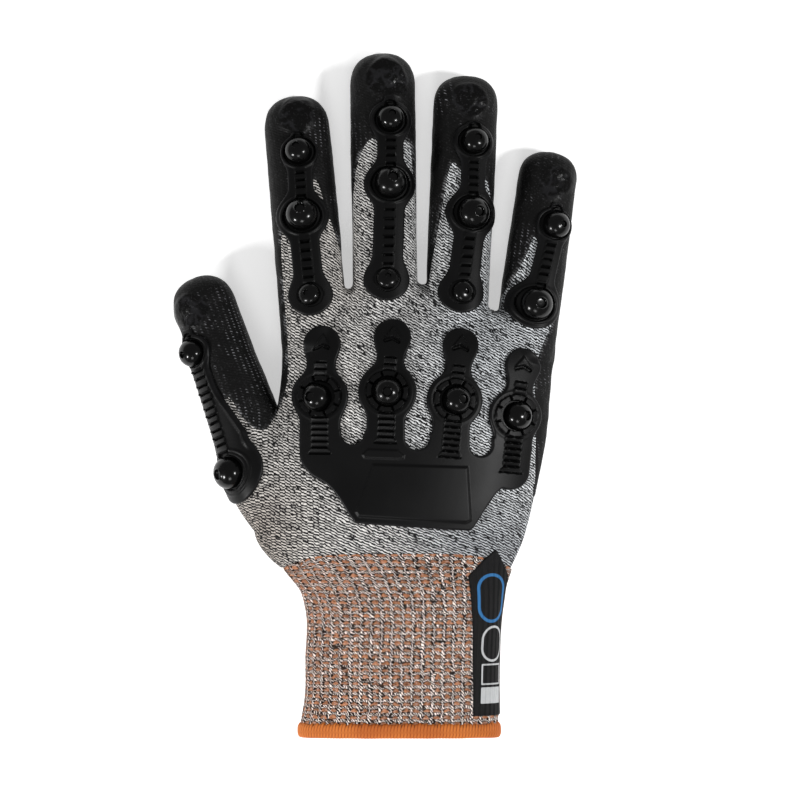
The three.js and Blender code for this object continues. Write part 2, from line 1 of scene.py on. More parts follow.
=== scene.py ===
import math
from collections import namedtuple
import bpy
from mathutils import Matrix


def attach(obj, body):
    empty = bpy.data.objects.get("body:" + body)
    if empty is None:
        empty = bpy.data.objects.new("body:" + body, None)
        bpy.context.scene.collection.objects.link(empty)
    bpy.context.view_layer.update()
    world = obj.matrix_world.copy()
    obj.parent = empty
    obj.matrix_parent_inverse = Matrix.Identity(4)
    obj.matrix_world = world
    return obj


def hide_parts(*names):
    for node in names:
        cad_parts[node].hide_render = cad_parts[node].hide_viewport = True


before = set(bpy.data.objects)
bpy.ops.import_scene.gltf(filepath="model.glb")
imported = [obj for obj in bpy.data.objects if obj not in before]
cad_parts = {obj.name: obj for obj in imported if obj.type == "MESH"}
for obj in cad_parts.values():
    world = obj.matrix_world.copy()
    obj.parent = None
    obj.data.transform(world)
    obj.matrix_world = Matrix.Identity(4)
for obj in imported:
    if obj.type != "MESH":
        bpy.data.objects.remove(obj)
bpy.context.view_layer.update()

# Impact resistant coated glove for the right hand, lying palm down: +Y to the fingertips, -X to the thumb.
# Tables and arrays are in millimetres, and to_object makes metres of them.
from types import SimpleNamespace as Named

import bpy
import numpy as np
from mathutils import Vector
from mathutils.bvhtree import BVHTree

MM = 0.001
BODY = "root"


# Numbers

def eased(low, high, value):
    """0 up to low, 1 from high on and a smooth rise between them; low may be the larger one."""
    share = np.clip((value - low) / (high - low), 0, 1)
    return share * share * (3 - 2 * share)


def band(value, start, full, fall, end):
    """1 between full and fall, with a smooth way down to 0 at start and end."""
    return eased(start, full, value) * (1 - eased(fall, end, value))


def through(places, values, at):
    """A smooth curve through a short table, read at many places."""
    places, values = np.asarray(places, float), np.asarray(values, float)
    slopes = np.gradient(values, places, axis=0)
    i = np.clip(np.searchsorted(places, at) - 1, 0, len(places) - 2)
    width = places[i + 1] - places[i]
    t = np.clip((at - places[i]) / width, 0, 1)
    if values.ndim > 1:
        width, t = width[:, None], t[:, None]
    rise = values[i + 1] - values[i]
    ease = t * t * (3 - 2 * t)
    bend = t * (1 - t) * width
    return values[i] + rise * ease + bend * ((1 - t) * slopes[i] - t * slopes[i + 1])


def unit(vectors):
    return vectors / np.maximum(np.linalg.norm(vectors, axis=-1, keepdims=True), 1e-12)


def ripples(points, size, seed, waves=7):
    """Smooth random relief, mostly between -1 and 1, made of a few waves of about one size."""
    draw = np.random.default_rng(seed)
    total = np.zeros(len(points))
    for _ in range(waves):
        direction = unit(draw.normal(size=3))
        length = size * draw.uniform(0.7, 1.5)
        total += np.sin(points @ direction * 2 * math.pi / length + draw.uniform(0, 2 * math.pi))
    return total / math.sqrt(waves * 2)


def turns(count):
    """Angles evenly spaced round a circle."""
    return np.arange(count) * 2 * math.pi / count


def squared(turn, back, front):
    """Shares across and up round a section, squarer than an ellipse where its back's or front's power is
    over 2."""
    c, s = np.cos(turn), np.sin(turn)
    power = 2 / np.where(s > 0, back, front)
    return np.sign(c) * np.abs(c) ** power, np.sign(s) * np.abs(s) ** power


# Flat distance fields, negative inside a shape

def to_circle(flat, middle, radius):
    return np.hypot(*(flat - middle).T) - radius


def to_line(flat, start, end):
    way = np.subtract(end, start)
    share = np.clip((flat - start) @ way / (way @ way), 0, 1)
    return np.linalg.norm(flat - start - share[:, None] * way, axis=1)


def to_box(flat, middle, half, corner):
    """Distance to a box with round corners."""
    out = np.abs(flat - middle).T - np.reshape(half, (2, 1)) + corner
    return np.linalg.norm(np.maximum(out, 0), axis=0) + np.minimum(out.max(0), 0) - corner


def to_outline(flat, corners):
    """Distance to a closed outline of straight edges."""
    corners = np.asarray(corners, float)
    nearest = np.full(len(flat), np.inf)
    inside = np.zeros(len(flat), bool)
    for a, b in zip(corners, np.roll(corners, -1, 0)):
        nearest = np.minimum(nearest, to_line(flat, a, b))
        way = b - a
        spans = (a[1] > flat[:, 1]) != (b[1] > flat[:, 1])
        inside ^= spans & (flat[:, 0] < a[0] + (flat[:, 1] - a[1]) * way[0] / (way[1] or 1))
    return np.where(inside, -nearest, nearest)


def rounded(corners, steps=5):
    """A closed outline as a smooth curve through its corners."""
    t = (np.arange(steps) / steps)[None, :, None]
    p0, p1, p2, p3 = (np.roll(np.asarray(corners, float), k, 0)[:, None] for k in (1, 0, -1, -2))
    curve = p1 + 0.5 * t * (p2 - p0 + t * (2 * p0 - 5 * p1 + 4 * p2 - p3 + t * (3 * (p1 - p2) + p3 - p0)))
    return curve.reshape(-1, 2)


def joined(a, b, soft):
    """The union of two fields with a fillet of about the softness between them."""
    share = np.clip(0.5 + 0.5 * (b - a) / soft, 0, 1)
    return b + (a - b) * share - soft * share * (1 - share)


def raised(height, field, rise, edge):
    """A height with a step up, or down, inside a shape."""
    return height + rise * (1 - eased(-edge, edge, field))


# Sheets of triangles

class Sheet:
    """Points, faces as corner numbers, a material number for each face, and named values at the points."""

    def __init__(self, points, faces, tags=0, **values):
        self.points = np.asarray(points, float)
        self.faces = np.asarray(faces, int)
        self.tags = np.broadcast_to(np.asarray(tags), len(self.faces)).copy()
        self.values = values

    def keep(self, kept):
        used, faces = np.unique(self.faces[kept], return_inverse=True)
        values = {name: value[used] for name, value in self.values.items()}
        return Sheet(self.points[used], faces.reshape(-1, 3), self.tags[kept], **values)

    def flipped(self):
        return Sheet(self.points, self.faces[:, ::-1], self.tags, **self.values)

    def cut(self, name):
        """The sheet with the faces split where the named value crosses zero."""
        field = self.values[name]
        side = field[self.faces] > 0
        count = side.sum(1)
        split = (count == 1) | (count == 2)
        lone = np.where(count == 1, side.argmax(1), (~side).argmax(1))[split]
        a, b, c = np.take_along_axis(self.faces[split], (lone[:, None] + np.arange(3)) % 3, 1).T
        pairs = np.sort(np.concatenate([np.stack([a, b], 1), np.stack([a, c], 1)]), axis=1)
        pairs, which = np.unique(pairs, axis=0, return_inverse=True)
        i, j = pairs.T
        share = field[i] / (field[i] - field[j])
        p, q = np.split(which.ravel() + len(self.points), 2)

        def extended(value):
            weight = share.reshape(-1, *[1] * (value.ndim - 1))
            return np.concatenate([value, value[i] + (value[j] - value[i]) * weight])

        parts = [(a, p, q), (p, b, c), (p, c, q)]
        faces = [self.faces[~split], *(np.stack(corners, 1) for corners in parts)]
        tags = [self.tags[~split]] + [self.tags[split]] * 3
        values = {key: extended(value) for key, value in self.values.items()}
        values[name][len(self.points):] = 0
        return Sheet(extended(self.points), np.concatenate(faces), np.concatenate(tags), **values)

    def side(self, name):
        """Which faces lie where the named value is negative, once the sheet is cut there."""
        return self.values[name][self.faces].sum(1) < 0

    def inside(self, name):
        """The part where the named value is negative, cut along its zero."""
        made = self.cut(name)
        return made.keep(made.side(name))

    def pairs(self):
        """Each face's edges as two corner numbers, in the order that the face has them."""
        return np.concatenate([self.faces[:, [k, (k + 1) % 3]] for k in range(3)])

    def edges(self):
        return np.unique(np.sort(self.pairs(), axis=1), axis=0)

    def rim(self):
        """The open edges."""
        pairs, count = self.pairs(), len(self.points)
        return pairs[~np.isin(pairs @ (count, 1), pairs @ (1, count))]

    def normals(self):
        a, b, c = (self.points[self.faces[:, k]] for k in range(3))
        across = np.repeat(np.cross(b - a, c - a), 3, axis=0)
        return unit(sum_at(self.faces.ravel(), across, len(self.points)))

    def tree(self):
        return BVHTree.FromPolygons(self.points.tolist(), self.faces.tolist())


def sum_at(places, values, count):
    """Sums of rows of values that share a place."""
    return np.stack([np.bincount(places, column, count) for column in values.T], 1)


def all_of(sheets):
    """Several sheets as one; the values kept are those that all of them have."""
    starts = np.cumsum([0] + [len(sheet.points) for sheet in sheets])
    faces = np.concatenate([sheet.faces + start for sheet, start in zip(sheets, starts)])
    points = np.concatenate([sheet.points for sheet in sheets])
    tags = np.concatenate([sheet.tags for sheet in sheets])
    names = [name for name in sheets[0].values if all(name in sheet.values for sheet in sheets)]
    values = {name: np.concatenate([sheet.values[name] for sheet in sheets]) for name in names}
    return Sheet(points, faces, tags, **values)


def grid_faces(rows, columns, closed=False, looped=False):
    """Faces of a grid of points numbered row by row. A closed one joins its last column to its first, and a
    looped one its last row to its first."""
    start = np.arange(rows if looped else rows - 1)[:, None] * columns
    here = np.arange(columns if closed else columns - 1)
    a, b = start + here, start + (here + 1) % columns
    c, d = (a + columns) % (rows * columns), (b + columns) % (rows * columns)
    return np.concatenate([np.stack([a, b, d], -1).reshape(-1, 3), np.stack([a, d, c], -1).reshape(-1, 3)])


def fan(tip, start, sides):
    """Faces from a tip to a closed ring of points."""
    here = np.arange(sides)
    return np.stack([np.full(sides, tip), start + here, start + (here + 1) % sides], 1)


def lofted(rings, first, last):
    """A closed skin over rings of points, with a point at each end."""
    count, sides, _ = rings.shape
    total = count * sides
    caps = [fan(total, 0, sides)[:, [0, 2, 1]], fan(total + 1, total - sides, sides)]
    faces = np.concatenate([grid_faces(count, sides, closed=True), *caps])
    return Sheet(np.concatenate([rings.reshape(-1, 3), [first, last]]), faces)


def placed(name, data):
    """A new object in the scene."""
    made = bpy.data.objects.new(name, data)
    bpy.context.scene.collection.objects.link(made)
    return made


def to_object(name, sheet):
    mesh = bpy.data.meshes.new(name)
    mesh.from_pydata((sheet.points * MM).tolist(), [], sheet.faces.tolist())
    return placed(name, mesh)


def modified(sheet, kind, **settings):
    """The triangles that a modifier makes of a sheet, without its values."""
    form = to_object("form", sheet)
    modifier = form.modifiers.new("change", kind)
    for name, value in settings.items():
        setattr(modifier, name, value)
    mesh = form.evaluated_get(bpy.context.evaluated_depsgraph_get()).to_mesh()
    mesh.calc_loop_triangles()
    points = np.empty(len(mesh.vertices) * 3)
    faces = np.empty(len(mesh.loop_triangles) * 3, int)
    mesh.vertices.foreach_get("co", points)
    mesh.loop_triangles.foreach_get("vertices", faces)
    bpy.data.objects.remove(form)
    return Sheet(points.reshape(-1, 3) / MM, faces.reshape(-1, 3))


def relaxed(sheet, rounds, weight=1.0):
    """Evens out a sheet without shrinking it, as much as the weight says at each point."""
    i, j = sheet.edges().T
    count = len(sheet.points)
    shares = np.bincount(i, minlength=count) + np.bincount(j, minlength=count)
    points = sheet.points.copy()
    weight = np.broadcast_to(weight, count)[:, None]
    for step in [0.5, -0.52] * rounds:
        mean = (sum_at(i, points[j], count) + sum_at(j, points[i], count)) / shares[:, None]
        points += step * weight * (mean - points)
    return Sheet(points, sheet.faces, sheet.tags, **sheet.values)


def unrolled(sheet, direction, rounds=500):
    """A value at each point that grows with distance along a field of directions, as evenly as it can."""
    i, j = sheet.edges().T
    count = len(sheet.points)

    def gathered(flow):
        return np.bincount(j, flow, count) - np.bincount(i, flow, count)

    want = ((direction[i] + direction[j]) / 2 * (sheet.points[j] - sheet.points[i])).sum(1)
    value = sheet.points @ direction.mean(0)
    left = gathered(want) - gathered(value[j] - value[i])
    way, size = left.copy(), left @ left
    for _ in range(rounds):
        drawn = gathered(way[j] - way[i])
        step = size / (way @ drawn)
        value += step * way
        left -= step * drawn
        size, before = left @ left, size
        way = left + way * size / before
    return value


# Materials

class Value:
    """An output of a material's nodes, with the usual signs for sums and products."""

    def __init__(self, surface, socket):
        self.surface, self.socket = surface, socket

    def __add__(self, other):
        return self.surface.math("ADD", self, other)

    def __sub__(self, other):
        return self.surface.math("SUBTRACT", self, other)

    def __rsub__(self, other):
        return self.surface.math("SUBTRACT", other, self)

    def __mul__(self, other):
        return self.surface.math("MULTIPLY", self, other)

    def __truediv__(self, other):
        return self.surface.math("DIVIDE", self, other)

    __radd__, __rmul__ = __add__, __mul__


class Surface:
    """A material, with short calls for its nodes."""

    def __init__(self, name):
        self.material = bpy.data.materials.new(name)
        self.material.use_nodes = True
        tree = self.material.node_tree
        self.nodes, self.links = tree.nodes, tree.links

    def put(self, socket, value):
        if isinstance(value, Value):
            self.links.new(value.socket, socket)
        else:
            socket.default_value = (*value, 1) if socket.type == "RGBA" else value

    def node(self, kind, inputs, output=0, **settings):
        made = self.nodes.new(f"ShaderNode{kind}")
        for name, value in settings.items():
            setattr(made, name, value)
        for name, value in inputs.items():
            self.put(made.inputs[name], value)
        return Value(self, made.outputs[output])

    def math(self, operation, *values):
        return self.node("Math", dict(enumerate(values)), operation=operation)

    def pick(self, flag, one, zero):
        """One value where the flag is 1, and the other where it is 0."""
        return flag * (one - zero) + zero

    def ramp(self, value, low, high, top=1.0):
        """0 at low, the top at high and a smooth rise between them."""
        inputs = {"Value": value, "From Min": low, "From Max": high, "To Max": top}
        return self.node("MapRange", inputs, interpolation_type="SMOOTHSTEP")

    def mix(self, share, a, b, kind="MIX"):
        """One colour turning into another. A mix node has its colours at inputs 6 and 7 and output 2."""
        return self.node("Mix", {0: share, 6: a, 7: b}, 2, data_type="RGBA", blend_type=kind)

    def tinted(self, colour, tint):
        return self.mix(1.0, colour, tint, "MULTIPLY")

    def value_at(self, name, output="Fac"):
        return self.node("Attribute", {}, output, attribute_name=name)

    def stitch(self):
        """The knit's column and row numbers."""
        return self.axes(self.value_at("stitch", "Vector"))[:2]

    def place(self):
        return self.node("TexCoord", {}, "Object")

    def vector(self, x, y):
        return self.node("CombineXYZ", {"X": x, "Y": y})

    def axes(self, vector):
        first = self.node("SeparateXYZ", {"Vector": vector})
        return [Value(self, socket) for socket in first.socket.node.outputs]

    def noise(self, scale, detail=2.0, roughness=0.5, at=None):
        inputs = {"Vector": at or self.place(), "Scale": scale, "Detail": detail, "Roughness": roughness}
        return self.node("TexNoise", inputs, "Fac")

    def stray(self, scale, size, detail=2.0, roughness=0.5):
        """Noise from minus half the size to half of it."""
        return (self.noise(scale, detail, roughness) - 0.5) * size

    def colours(self, value, stops):
        """A colour for a value, through stops of (place, colour)."""
        made = self.node("ValToRGB", {"Fac": value}, "Color")
        points = made.socket.node.color_ramp.elements
        while len(points) < len(stops):
            points.new(0.5)
        for point, (place, colour) in zip(points, stops):
            point.position, point.color = place, (*colour, 1)
        return made

    def bump(self, height, depth, below=None):
        """A bump of a depth in millimetres, over another where one is given."""
        over = {"Normal": below} if below else {}
        return self.node("Bump", {"Height": height, "Distance": depth * MM, "Strength": 1.0, **over})

    def finish(self, colour, roughness, shine, **others):
        inputs = {"Base Color": colour, "Roughness": roughness, "Specular IOR Level": shine, **others}
        for name, value in inputs.items():
            self.put(self.nodes["Principled BSDF"].inputs[name], value)
        return self.material


def strands(s, u, v, fall, wobble=0.5):
    """A knit's strands, from its column and row numbers. Each falls by so many rows over its column."""
    u = u + s.stray(900, wobble, 1)
    v = v + s.stray(800, wobble * 1.4, 1) + s.stray(260, wobble * 2, 1)
    across = s.math("FRACT", u)
    along = v + across * fall
    crest = s.math("SINE", s.math("FRACT", along) * math.pi)
    tone = yarn_tone(s, u, s.math("FLOOR", u), s.math("FLOOR", along), 2.3)
    from_side = s.math("PINGPONG", across, 0.5)
    edge, middle = s.ramp(from_side, 0.25, 0.0), s.ramp(from_side, 0.27, 0.44)
    return Named(height=crest, edge=edge, middle=middle, tone=tone)


def yarn_tone(s, u, column, row, streaks):
    """How light the yarn is, about 0 to 1: by chance for each stitch, and in streaks along it."""
    stitch = s.node("TexWhiteNoise", {"Vector": s.vector(column, row)}, "Value")
    streak = s.noise(1, 0, at=s.vector(u * streaks, row * 7.13))
    return stitch * 0.45 + (streak - 0.22) * 0.9


MELANGE = [(0.0, (0.012, 0.012, 0.0125)), (0.16, (0.03, 0.03, 0.031)), (0.24, (0.36, 0.36, 0.362)),
           (0.5, (0.70, 0.697, 0.695)), (1.0, (0.92, 0.92, 0.92))]
GAP = (0.004, 0.004, 0.0045)
RUST_GAP = (0.010, 0.005, 0.004)
YARN_ROUGHNESS, YARN_SHINE, YARN_BUMP = 0.85, 0.2, 0.3
# An orange arch's share of a rib and of a row, and its bend in rows
ARCH = Named(wide=0.7, tall=0.6, bend=0.16)


def yarn_surface(s, gap, colour, height, fluff, low, soft):
    """Yarn where its height, with what loose fibres add at random, is over low, and a gap elsewhere."""
    shown = s.ramp(height + s.stray(620, fluff, 2, 0.6) - low, 0.0, soft)
    return s.finish(s.mix(shown, gap, colour), YARN_ROUGHNESS, YARN_SHINE, Normal=s.bump(height, YARN_BUMP))


def knit_surface():
    """Grey melange knit: light strands that fall across each column, and black gaps. Towards the thumb they
    fall less, are shorter and make a warmer grey."""
    s = Surface("grey_melange_knit")
    u, v = s.stitch()
    x, y, _ = s.axes(s.place())
    short = s.ramp(x + s.math("MINIMUM", y, 0) * 0.2, -0.010, -0.034)
    yarn = strands(s, u, v, 1.3 - short * 0.65)
    tint = s.mix(s.ramp(x, 0.045, -0.035) + s.stray(22, 1), (0.93, 0.97, 1.0), (1.0, 0.96, 0.91))
    # Painted shade: the knit made darker towards the cuff on the little finger's side.
    painted_cuff_shade = s.ramp(y, -0.030, -0.056) * s.ramp(x, -0.01, 0.04)
    # Painted shade: the knit made darker and browner towards the lower left, where the hand turns down to
    # its side by the cuff.
    painted_shade_and_wear = s.ramp(y, -0.025, -0.050) * s.ramp(x, -0.018, -0.044)
    shades = [(short, (0.88, 0.88, 0.88)), (painted_cuff_shade, (0.68, 0.69, 0.71)), (painted_shade_and_wear, (0.62, 0.58, 0.55))]
    for share, shade in shades:
        tint = s.tinted(tint, s.mix(share, (1, 1, 1), shade))
    grey = s.tinted(s.colours(yarn.tone, MELANGE), tint)
    return yarn_surface(s, GAP, grey, yarn.height, 0.5, 0.57 + yarn.edge * (0.1 + short * 0.04), 0.25)


def rib_surface():
    """Rib knit: an orange arch over short slanted grey strands in each row, between narrow columns of two
    steep grey strands."""
    s = Surface("orange_grey_rib")
    u, v = s.stitch()
    x, _, _ = s.axes(s.place())
    u = u - (1 - ARCH.wide) / 2 + s.stray(650, 0.5)
    v = v + s.stray(520, 0.7)
    place = s.math("FRACT", u)
    wide = s.math("LESS_THAN", place, ARCH.wide)
    narrow = 1 - wide
    across = s.pick(wide, place / ARCH.wide, (place - ARCH.wide) / (1 - ARCH.wide))
    from_middle = across * 2 - 1
    along = v - wide * (1 - from_middle * from_middle) * ARCH.bend - narrow * across * 0.62
    part = s.math("FRACT", along)
    share = s.pick(wide, ARCH.tall, 0.5)
    second = s.math("GREATER_THAN", part, share)
    within = s.pick(second, (part - share) / (1 - share), part / share)
    within = s.pick(second * wide, across * 3.2 - within * 1.1, within)
    height = s.math("SINE", s.math("FRACT", within) * math.pi)
    edge = s.ramp(s.math("PINGPONG", across, 0.5), 0.36, 0.0)
    orange = wide * (1 - second)
    row = s.math("FLOOR", along) * 9 + (second * 3 + s.math("FLOOR", within))
    tone = yarn_tone(s, u, s.math("FLOOR", u) * 2 + wide, row, 6.1)
    flecks = s.ramp(s.noise(520), 0.58, 0.68) * 0.6
    grey = s.colours(tone + (narrow * 0.03 + 0.15) - flecks, MELANGE)
    grey = s.tinted(grey, s.mix(narrow, (1.16, 1.03, 0.96), (1.20, 1.08, 1.01)))
    patchy = s.ramp(x, 0.02, -0.03) * s.ramp(s.noise(300), 0.35, 0.65)
    # Brown patches towards the left, and painted shade: the cuff made browner and darker towards its left
    # edge.
    warm_patches_and_painted_shade = patchy * 0.4 + s.ramp(x, -0.020, -0.034) * 0.35
    grey = s.mix(warm_patches_and_painted_shade, grey, (0.44, 0.22, 0.13))
    rust = s.mix(tone, (0.20, 0.08, 0.04), (0.56, 0.24, 0.12))
    fibres = s.noise(1, 1, at=s.vector(u * 2.6 + v * 2.2, v * 5.5 - u * 3.0))
    rust = s.mix(s.ramp(fibres, 0.56, 0.64) * 0.55, rust, (0.46, 0.42, 0.40))
    rust = s.mix(s.ramp(fibres, 0.42, 0.34) * 0.7, rust, (0.03, 0.014, 0.009))
    low = s.pick(orange, 0.14 + edge * 0.7, 0.66 + edge * 0.12)
    return yarn_surface(s, RUST_GAP, s.mix(orange, grey, rust), height, 0.8, low, 0.2)


def hem_surface():
    """Orange overlock yarn laid in slanting turns."""
    s = Surface("orange_overlock")
    groove = s.ramp(s.math("ABSOLUTE", s.math("FRACT", s.value_at("turn")) - 0.5), 0.5, 0.28)
    fine = s.noise(1800)
    bright = s.mix(s.ramp(s.noise(70), 0.3, 0.7), (0.40, 0.09, 0.012), (0.53, 0.145, 0.022))
    colour = s.mix(groove, (0.24, 0.045, 0.006), s.mix(fine * 0.35, bright, (0.62, 0.22, 0.055)))
    upper = s.ramp(s.math("ABSOLUTE", s.value_at("top") - 0.72), 0.3, 0.1)
    hole = upper * s.ramp(s.noise(420, 1), 0.5, 0.56) * (1 - groove)
    colour = s.mix(hole * 0.8, colour, (0.05, 0.012, 0.004))
    return s.finish(colour, 0.75, 0.25, Normal=s.bump(fine, 0.12))


def coating_surface():
    """Black dipped coating: satin, with painted glints in rows on the strands' crests and in fine specks,
    stitches at its thin edge, and glossy wrinkles over the nails with painted highlights along their
    creases."""
    s = Surface("black_dipped_coating")
    u, v = s.stitch()
    x, _, _ = s.axes(s.place())
    pad = s.value_at("pad")
    bare = 1 - pad
    yarn = strands(s, u, v, 0.9, wobble=0.3)
    cloud = s.noise(90, 3)
    thin = 1 - s.ramp(s.value_at("coat"), 0.1, 1.3)
    edge = thin * s.ramp(cloud, 0.45, 0.62) * s.ramp(yarn.height, 0.5, 0.85) * s.ramp(yarn.tone, 0.3, 0.5)
    patches = s.noise(65) + s.ramp(x, -0.036, -0.046, 0.16)
    # Painted glints: light dots on the strands' crests, in patches that gather towards the thumb.
    painted_glints = s.ramp(yarn.height, 0.84, 0.97) * s.ramp(patches, 0.50, 0.66)
    painted_glints = painted_glints * (yarn.middle * s.ramp(yarn.tone, 0.3, 0.6)) * bare
    creases = s.math("ABSOLUTE", s.stray(85, 1, 3, 0.6))
    # Painted glints: fine lighter specks, where the coating is also glossier.
    glint_speck = s.ramp(s.noise(1700, 1), 0.60, 0.72) * s.ramp(cloud, 0.35, 0.6)
    colour = s.mix(cloud, (0.002, 0.002, 0.002), (0.0045, 0.0044, 0.0043))
    # Painted highlights: lighter lines along the nail pads' creases.
    colour = s.mix(pad * s.ramp(creases, 0.05, 0.0), colour, (0.012, 0.012, 0.013))
    colour = s.mix(edge * 0.6, colour, (0.34, 0.34, 0.35))
    colour = s.mix(painted_glints * 0.6, colour, (0.30, 0.30, 0.32))
    colour = s.mix(glint_speck * 0.5, colour, (0.05, 0.05, 0.052))
    creased = s.bump(creases * (pad * 4), 0.45)
    stitched = s.bump(yarn.height * (1 - yarn.edge) * bare, 0.06, creased)
    fine = s.bump(s.noise(1400, 2, 0.6), 0.08, stitched)
    return s.finish(colour, 0.56 - glint_speck * 0.2 - pad * 0.32, 0.12, Normal=fine)


def shaded(colour, share):
    return tuple(share * part for part in colour)


def guard_surface(name, roughness, shine, grain, tone):
    """Black moulded rubber, a little rubbed and lighter along its edges."""
    s = Surface(name)
    cloud = s.noise(55, 3)
    # Real wear: the rubber lighter in spots along its edges.
    painted_shade_and_wear = s.value_at("edge") * s.ramp(s.noise(160, 3), 0.3, 0.7)
    colour = s.mix(painted_shade_and_wear * 0.3, s.mix(cloud, shaded(tone, 0.7), shaded(tone, 1.3)), (0.02, 0.02, 0.022))
    grained = s.bump(s.noise(2600, 2, 0.6), grain)
    return s.finish(colour, roughness + (cloud - 0.5) * 0.16, shine, Normal=grained)


def cloth_surface(name, colour, roughness=0.8):
    """A finely woven tape, or a print on one, with faint ribs along it."""
    s = Surface(name)
    u, v = s.stitch()
    ribs, warp, weft = (s.math("SINE", axis * (2 * math.pi / pitch))
                        for axis, pitch in ((u, 2.2), (u, 0.45), (v, 0.6)))
    weave = warp * weft
    tone = s.mix(s.ramp(weave, -1, 1), shaded(colour, 0.65), shaded(colour, 1.25))
    tone = s.mix(s.noise(1500) * 0.25, tone, shaded(colour, 0.5))
    return s.finish(tone, roughness, 0.2, Normal=s.bump(weave, 0.06, s.bump(ribs, 0.35)))


SURFACES = {
    "knit": knit_surface(),
    "rib": rib_surface(),
    "hem": hem_surface(),
    "coating": coating_surface(),
    "guard": guard_surface("black_guard_rubber", 0.42, 0.14, 0.03, (0.002, 0.002, 0.0021)),
    "dome": guard_surface("glossy_dome_rubber", 0.19, 0.24, 0.006, (0.0012, 0.0012, 0.0012)),
    "label": cloth_surface("black_woven_label", (0.006, 0.006, 0.0065)),
    "blue": cloth_surface("blue_print", (0.035, 0.19, 0.46), 0.6),
    "white": cloth_surface("white_print", (0.62, 0.63, 0.64), 0.6),
}


def add_piece(name, sheet, surfaces, replaces, sharp=None):
    """A finished piece from a sheet; its tags number the surfaces."""
    piece = to_object(name, sheet)
    mesh = piece.data
    for surface in surfaces:
        mesh.materials.append(SURFACES[surface])
    mesh.polygons.foreach_set("material_index", sheet.tags.astype(np.int32))
    mesh.shade_smooth()
    if sharp is not None:
        mesh.set_sharp_from_angle(angle=math.radians(sharp))
    for value_name, value in sheet.values.items():
        kind, field = ("FLOAT", "value") if value.ndim == 1 else ("FLOAT_VECTOR", "vector")
        if value.ndim > 1:
            value = np.pad(value, ((0, 0), (0, 3 - value.shape[1])))
        layer = mesh.attributes.new(value_name, kind, "POINT")
        layer.data.foreach_set(field, value.ravel().astype(np.float32))
    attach(piece, BODY)
    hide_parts(*replaces)


# The hand's form

PALM_ROWS = [
    # y, left, right, low, high, crown shift
    (-82.0, -24.8, 46.2, 2.6, 34.6, 1.0),
    (-76.0, -25.9, 47.4, 2.5, 34.6, 2.0),
    (-67.5, -30.8, 49.6, 2.2, 34.6, 5.0),
    (-60.5, -38.6, 52.8, 0.9, 35.2, 8.0),
    (-54.0, -43.4, 55.6, -1.0, 36.4, 8.0),
    (-47.0, -44.5, 57.6, -2.0, 37.2, 8.0),
    (-30.0, -41.0, 61.2, -2.3, 37.5, 8.0),
    (-14.0, -37.5, 64.0, -2.3, 37.2, 8.0),
    (4.0, -34.0, 65.4, -1.5, 35.4, 8.0),
    (20.0, -33.4, 67.0, 0.4, 32.0, 8.0),
    (30.0, -33.2, 67.2, 3.0, 28.4, 8.0),
    (38.0, -31.0, 67.0, 7.0, 24.0, 8.0),
]
PALM_START_Z = 18
PALM_END = (18.0, 41.5, 15.0)
WEB = Named(slope=0.36, from_x=20.0, from_y=10.0)
BACK_POWER, FRONT_POWER, DIGIT_POWER = 2.0, 2.8, 2.2
CAP_POWER = 0.85  # under 1 makes the digits' caps squarer than ellipses
SKIN = -0.35  # the knit's surface, inside the coating's
SIDES = 72
RING_STEP = 1.5

# Root and tip in plan, the round cap's length, and half widths, half depths and heights from root to tip
Digit = namedtuple("Digit", "root tip cap half deep z")
DIGITS = {
    "thumb": Digit((-30.7, -55.6), (-67.1, 43.5), 12.0, [9, 15, 12.9, 11.8, 11.5], [12, 14.2, 12.4, 11, 10],
                   [15, 16, 14.6, 12.3, 9.4]),
    "index": Digit((-21.3, 18), (-30, 111.3), 13.0, [12.9, 12.4, 12], [11.6, 10.6, 9.2], [18.5, 14, 8.4]),
    "middle": Digit((4.3, 18), (2.8, 127.25), 12.0, [12.6, 12.2, 11.9], [11.8, 10.8, 9.3], [19, 14.5, 8.5]),
    "ring": Digit((30.2, 18), (34.4, 118.9), 11.0, [11.8, 11.9, 11.8], [11.4, 10.4, 9], [18, 14, 8.2]),
    "little": Digit((55, 14), (65.9, 90.4), 10.0, [11.4, 11.2, 10.7], [10.6, 9.6, 8.3], [15, 12, 7.5]),
}


def sections(rows, y, offset, sides):
    """Places across and up round the sections at some places along, from a table's rows."""
    table = np.array(rows)
    left, right, low, high, shift = through(table[:, 0], table[:, 1:], y).T[..., None]
    across, up = squared(turns(sides), BACK_POWER, FRONT_POWER)
    x = (left + right) / 2 + ((right - left) / 2 + offset) * across - shift * np.maximum(0, up)
    return x, (low + high) / 2 + ((high - low) / 2 + offset) * up


def palm_sheet():
    first, last = PALM_ROWS[0], PALM_ROWS[-1]
    y = np.arange(first[0], last[0] + RING_STEP / 2, RING_STEP)
    x, z = sections(PALM_ROWS, y, SKIN, SIDES)
    fall = np.maximum(0, x - WEB.from_x) * WEB.slope
    web_share = np.clip((y - WEB.from_y) / (PALM_END[1] - WEB.from_y), 0, 1)[:, None]
    rings = np.stack([x, y[:, None] + (SKIN - fall) * web_share, z], -1)
    return lofted(rings[:, ::-1], ((first[1] + first[2]) / 2, y[0], PALM_START_Z), PALM_END)


def digit_axes(name):
    """A digit's directions across and along, and its length in plan."""
    way = np.subtract(DIGITS[name].tip, DIGITS[name].root)
    along = unit(way)
    return np.array([along[1], -along[0]]), along, np.linalg.norm(way)


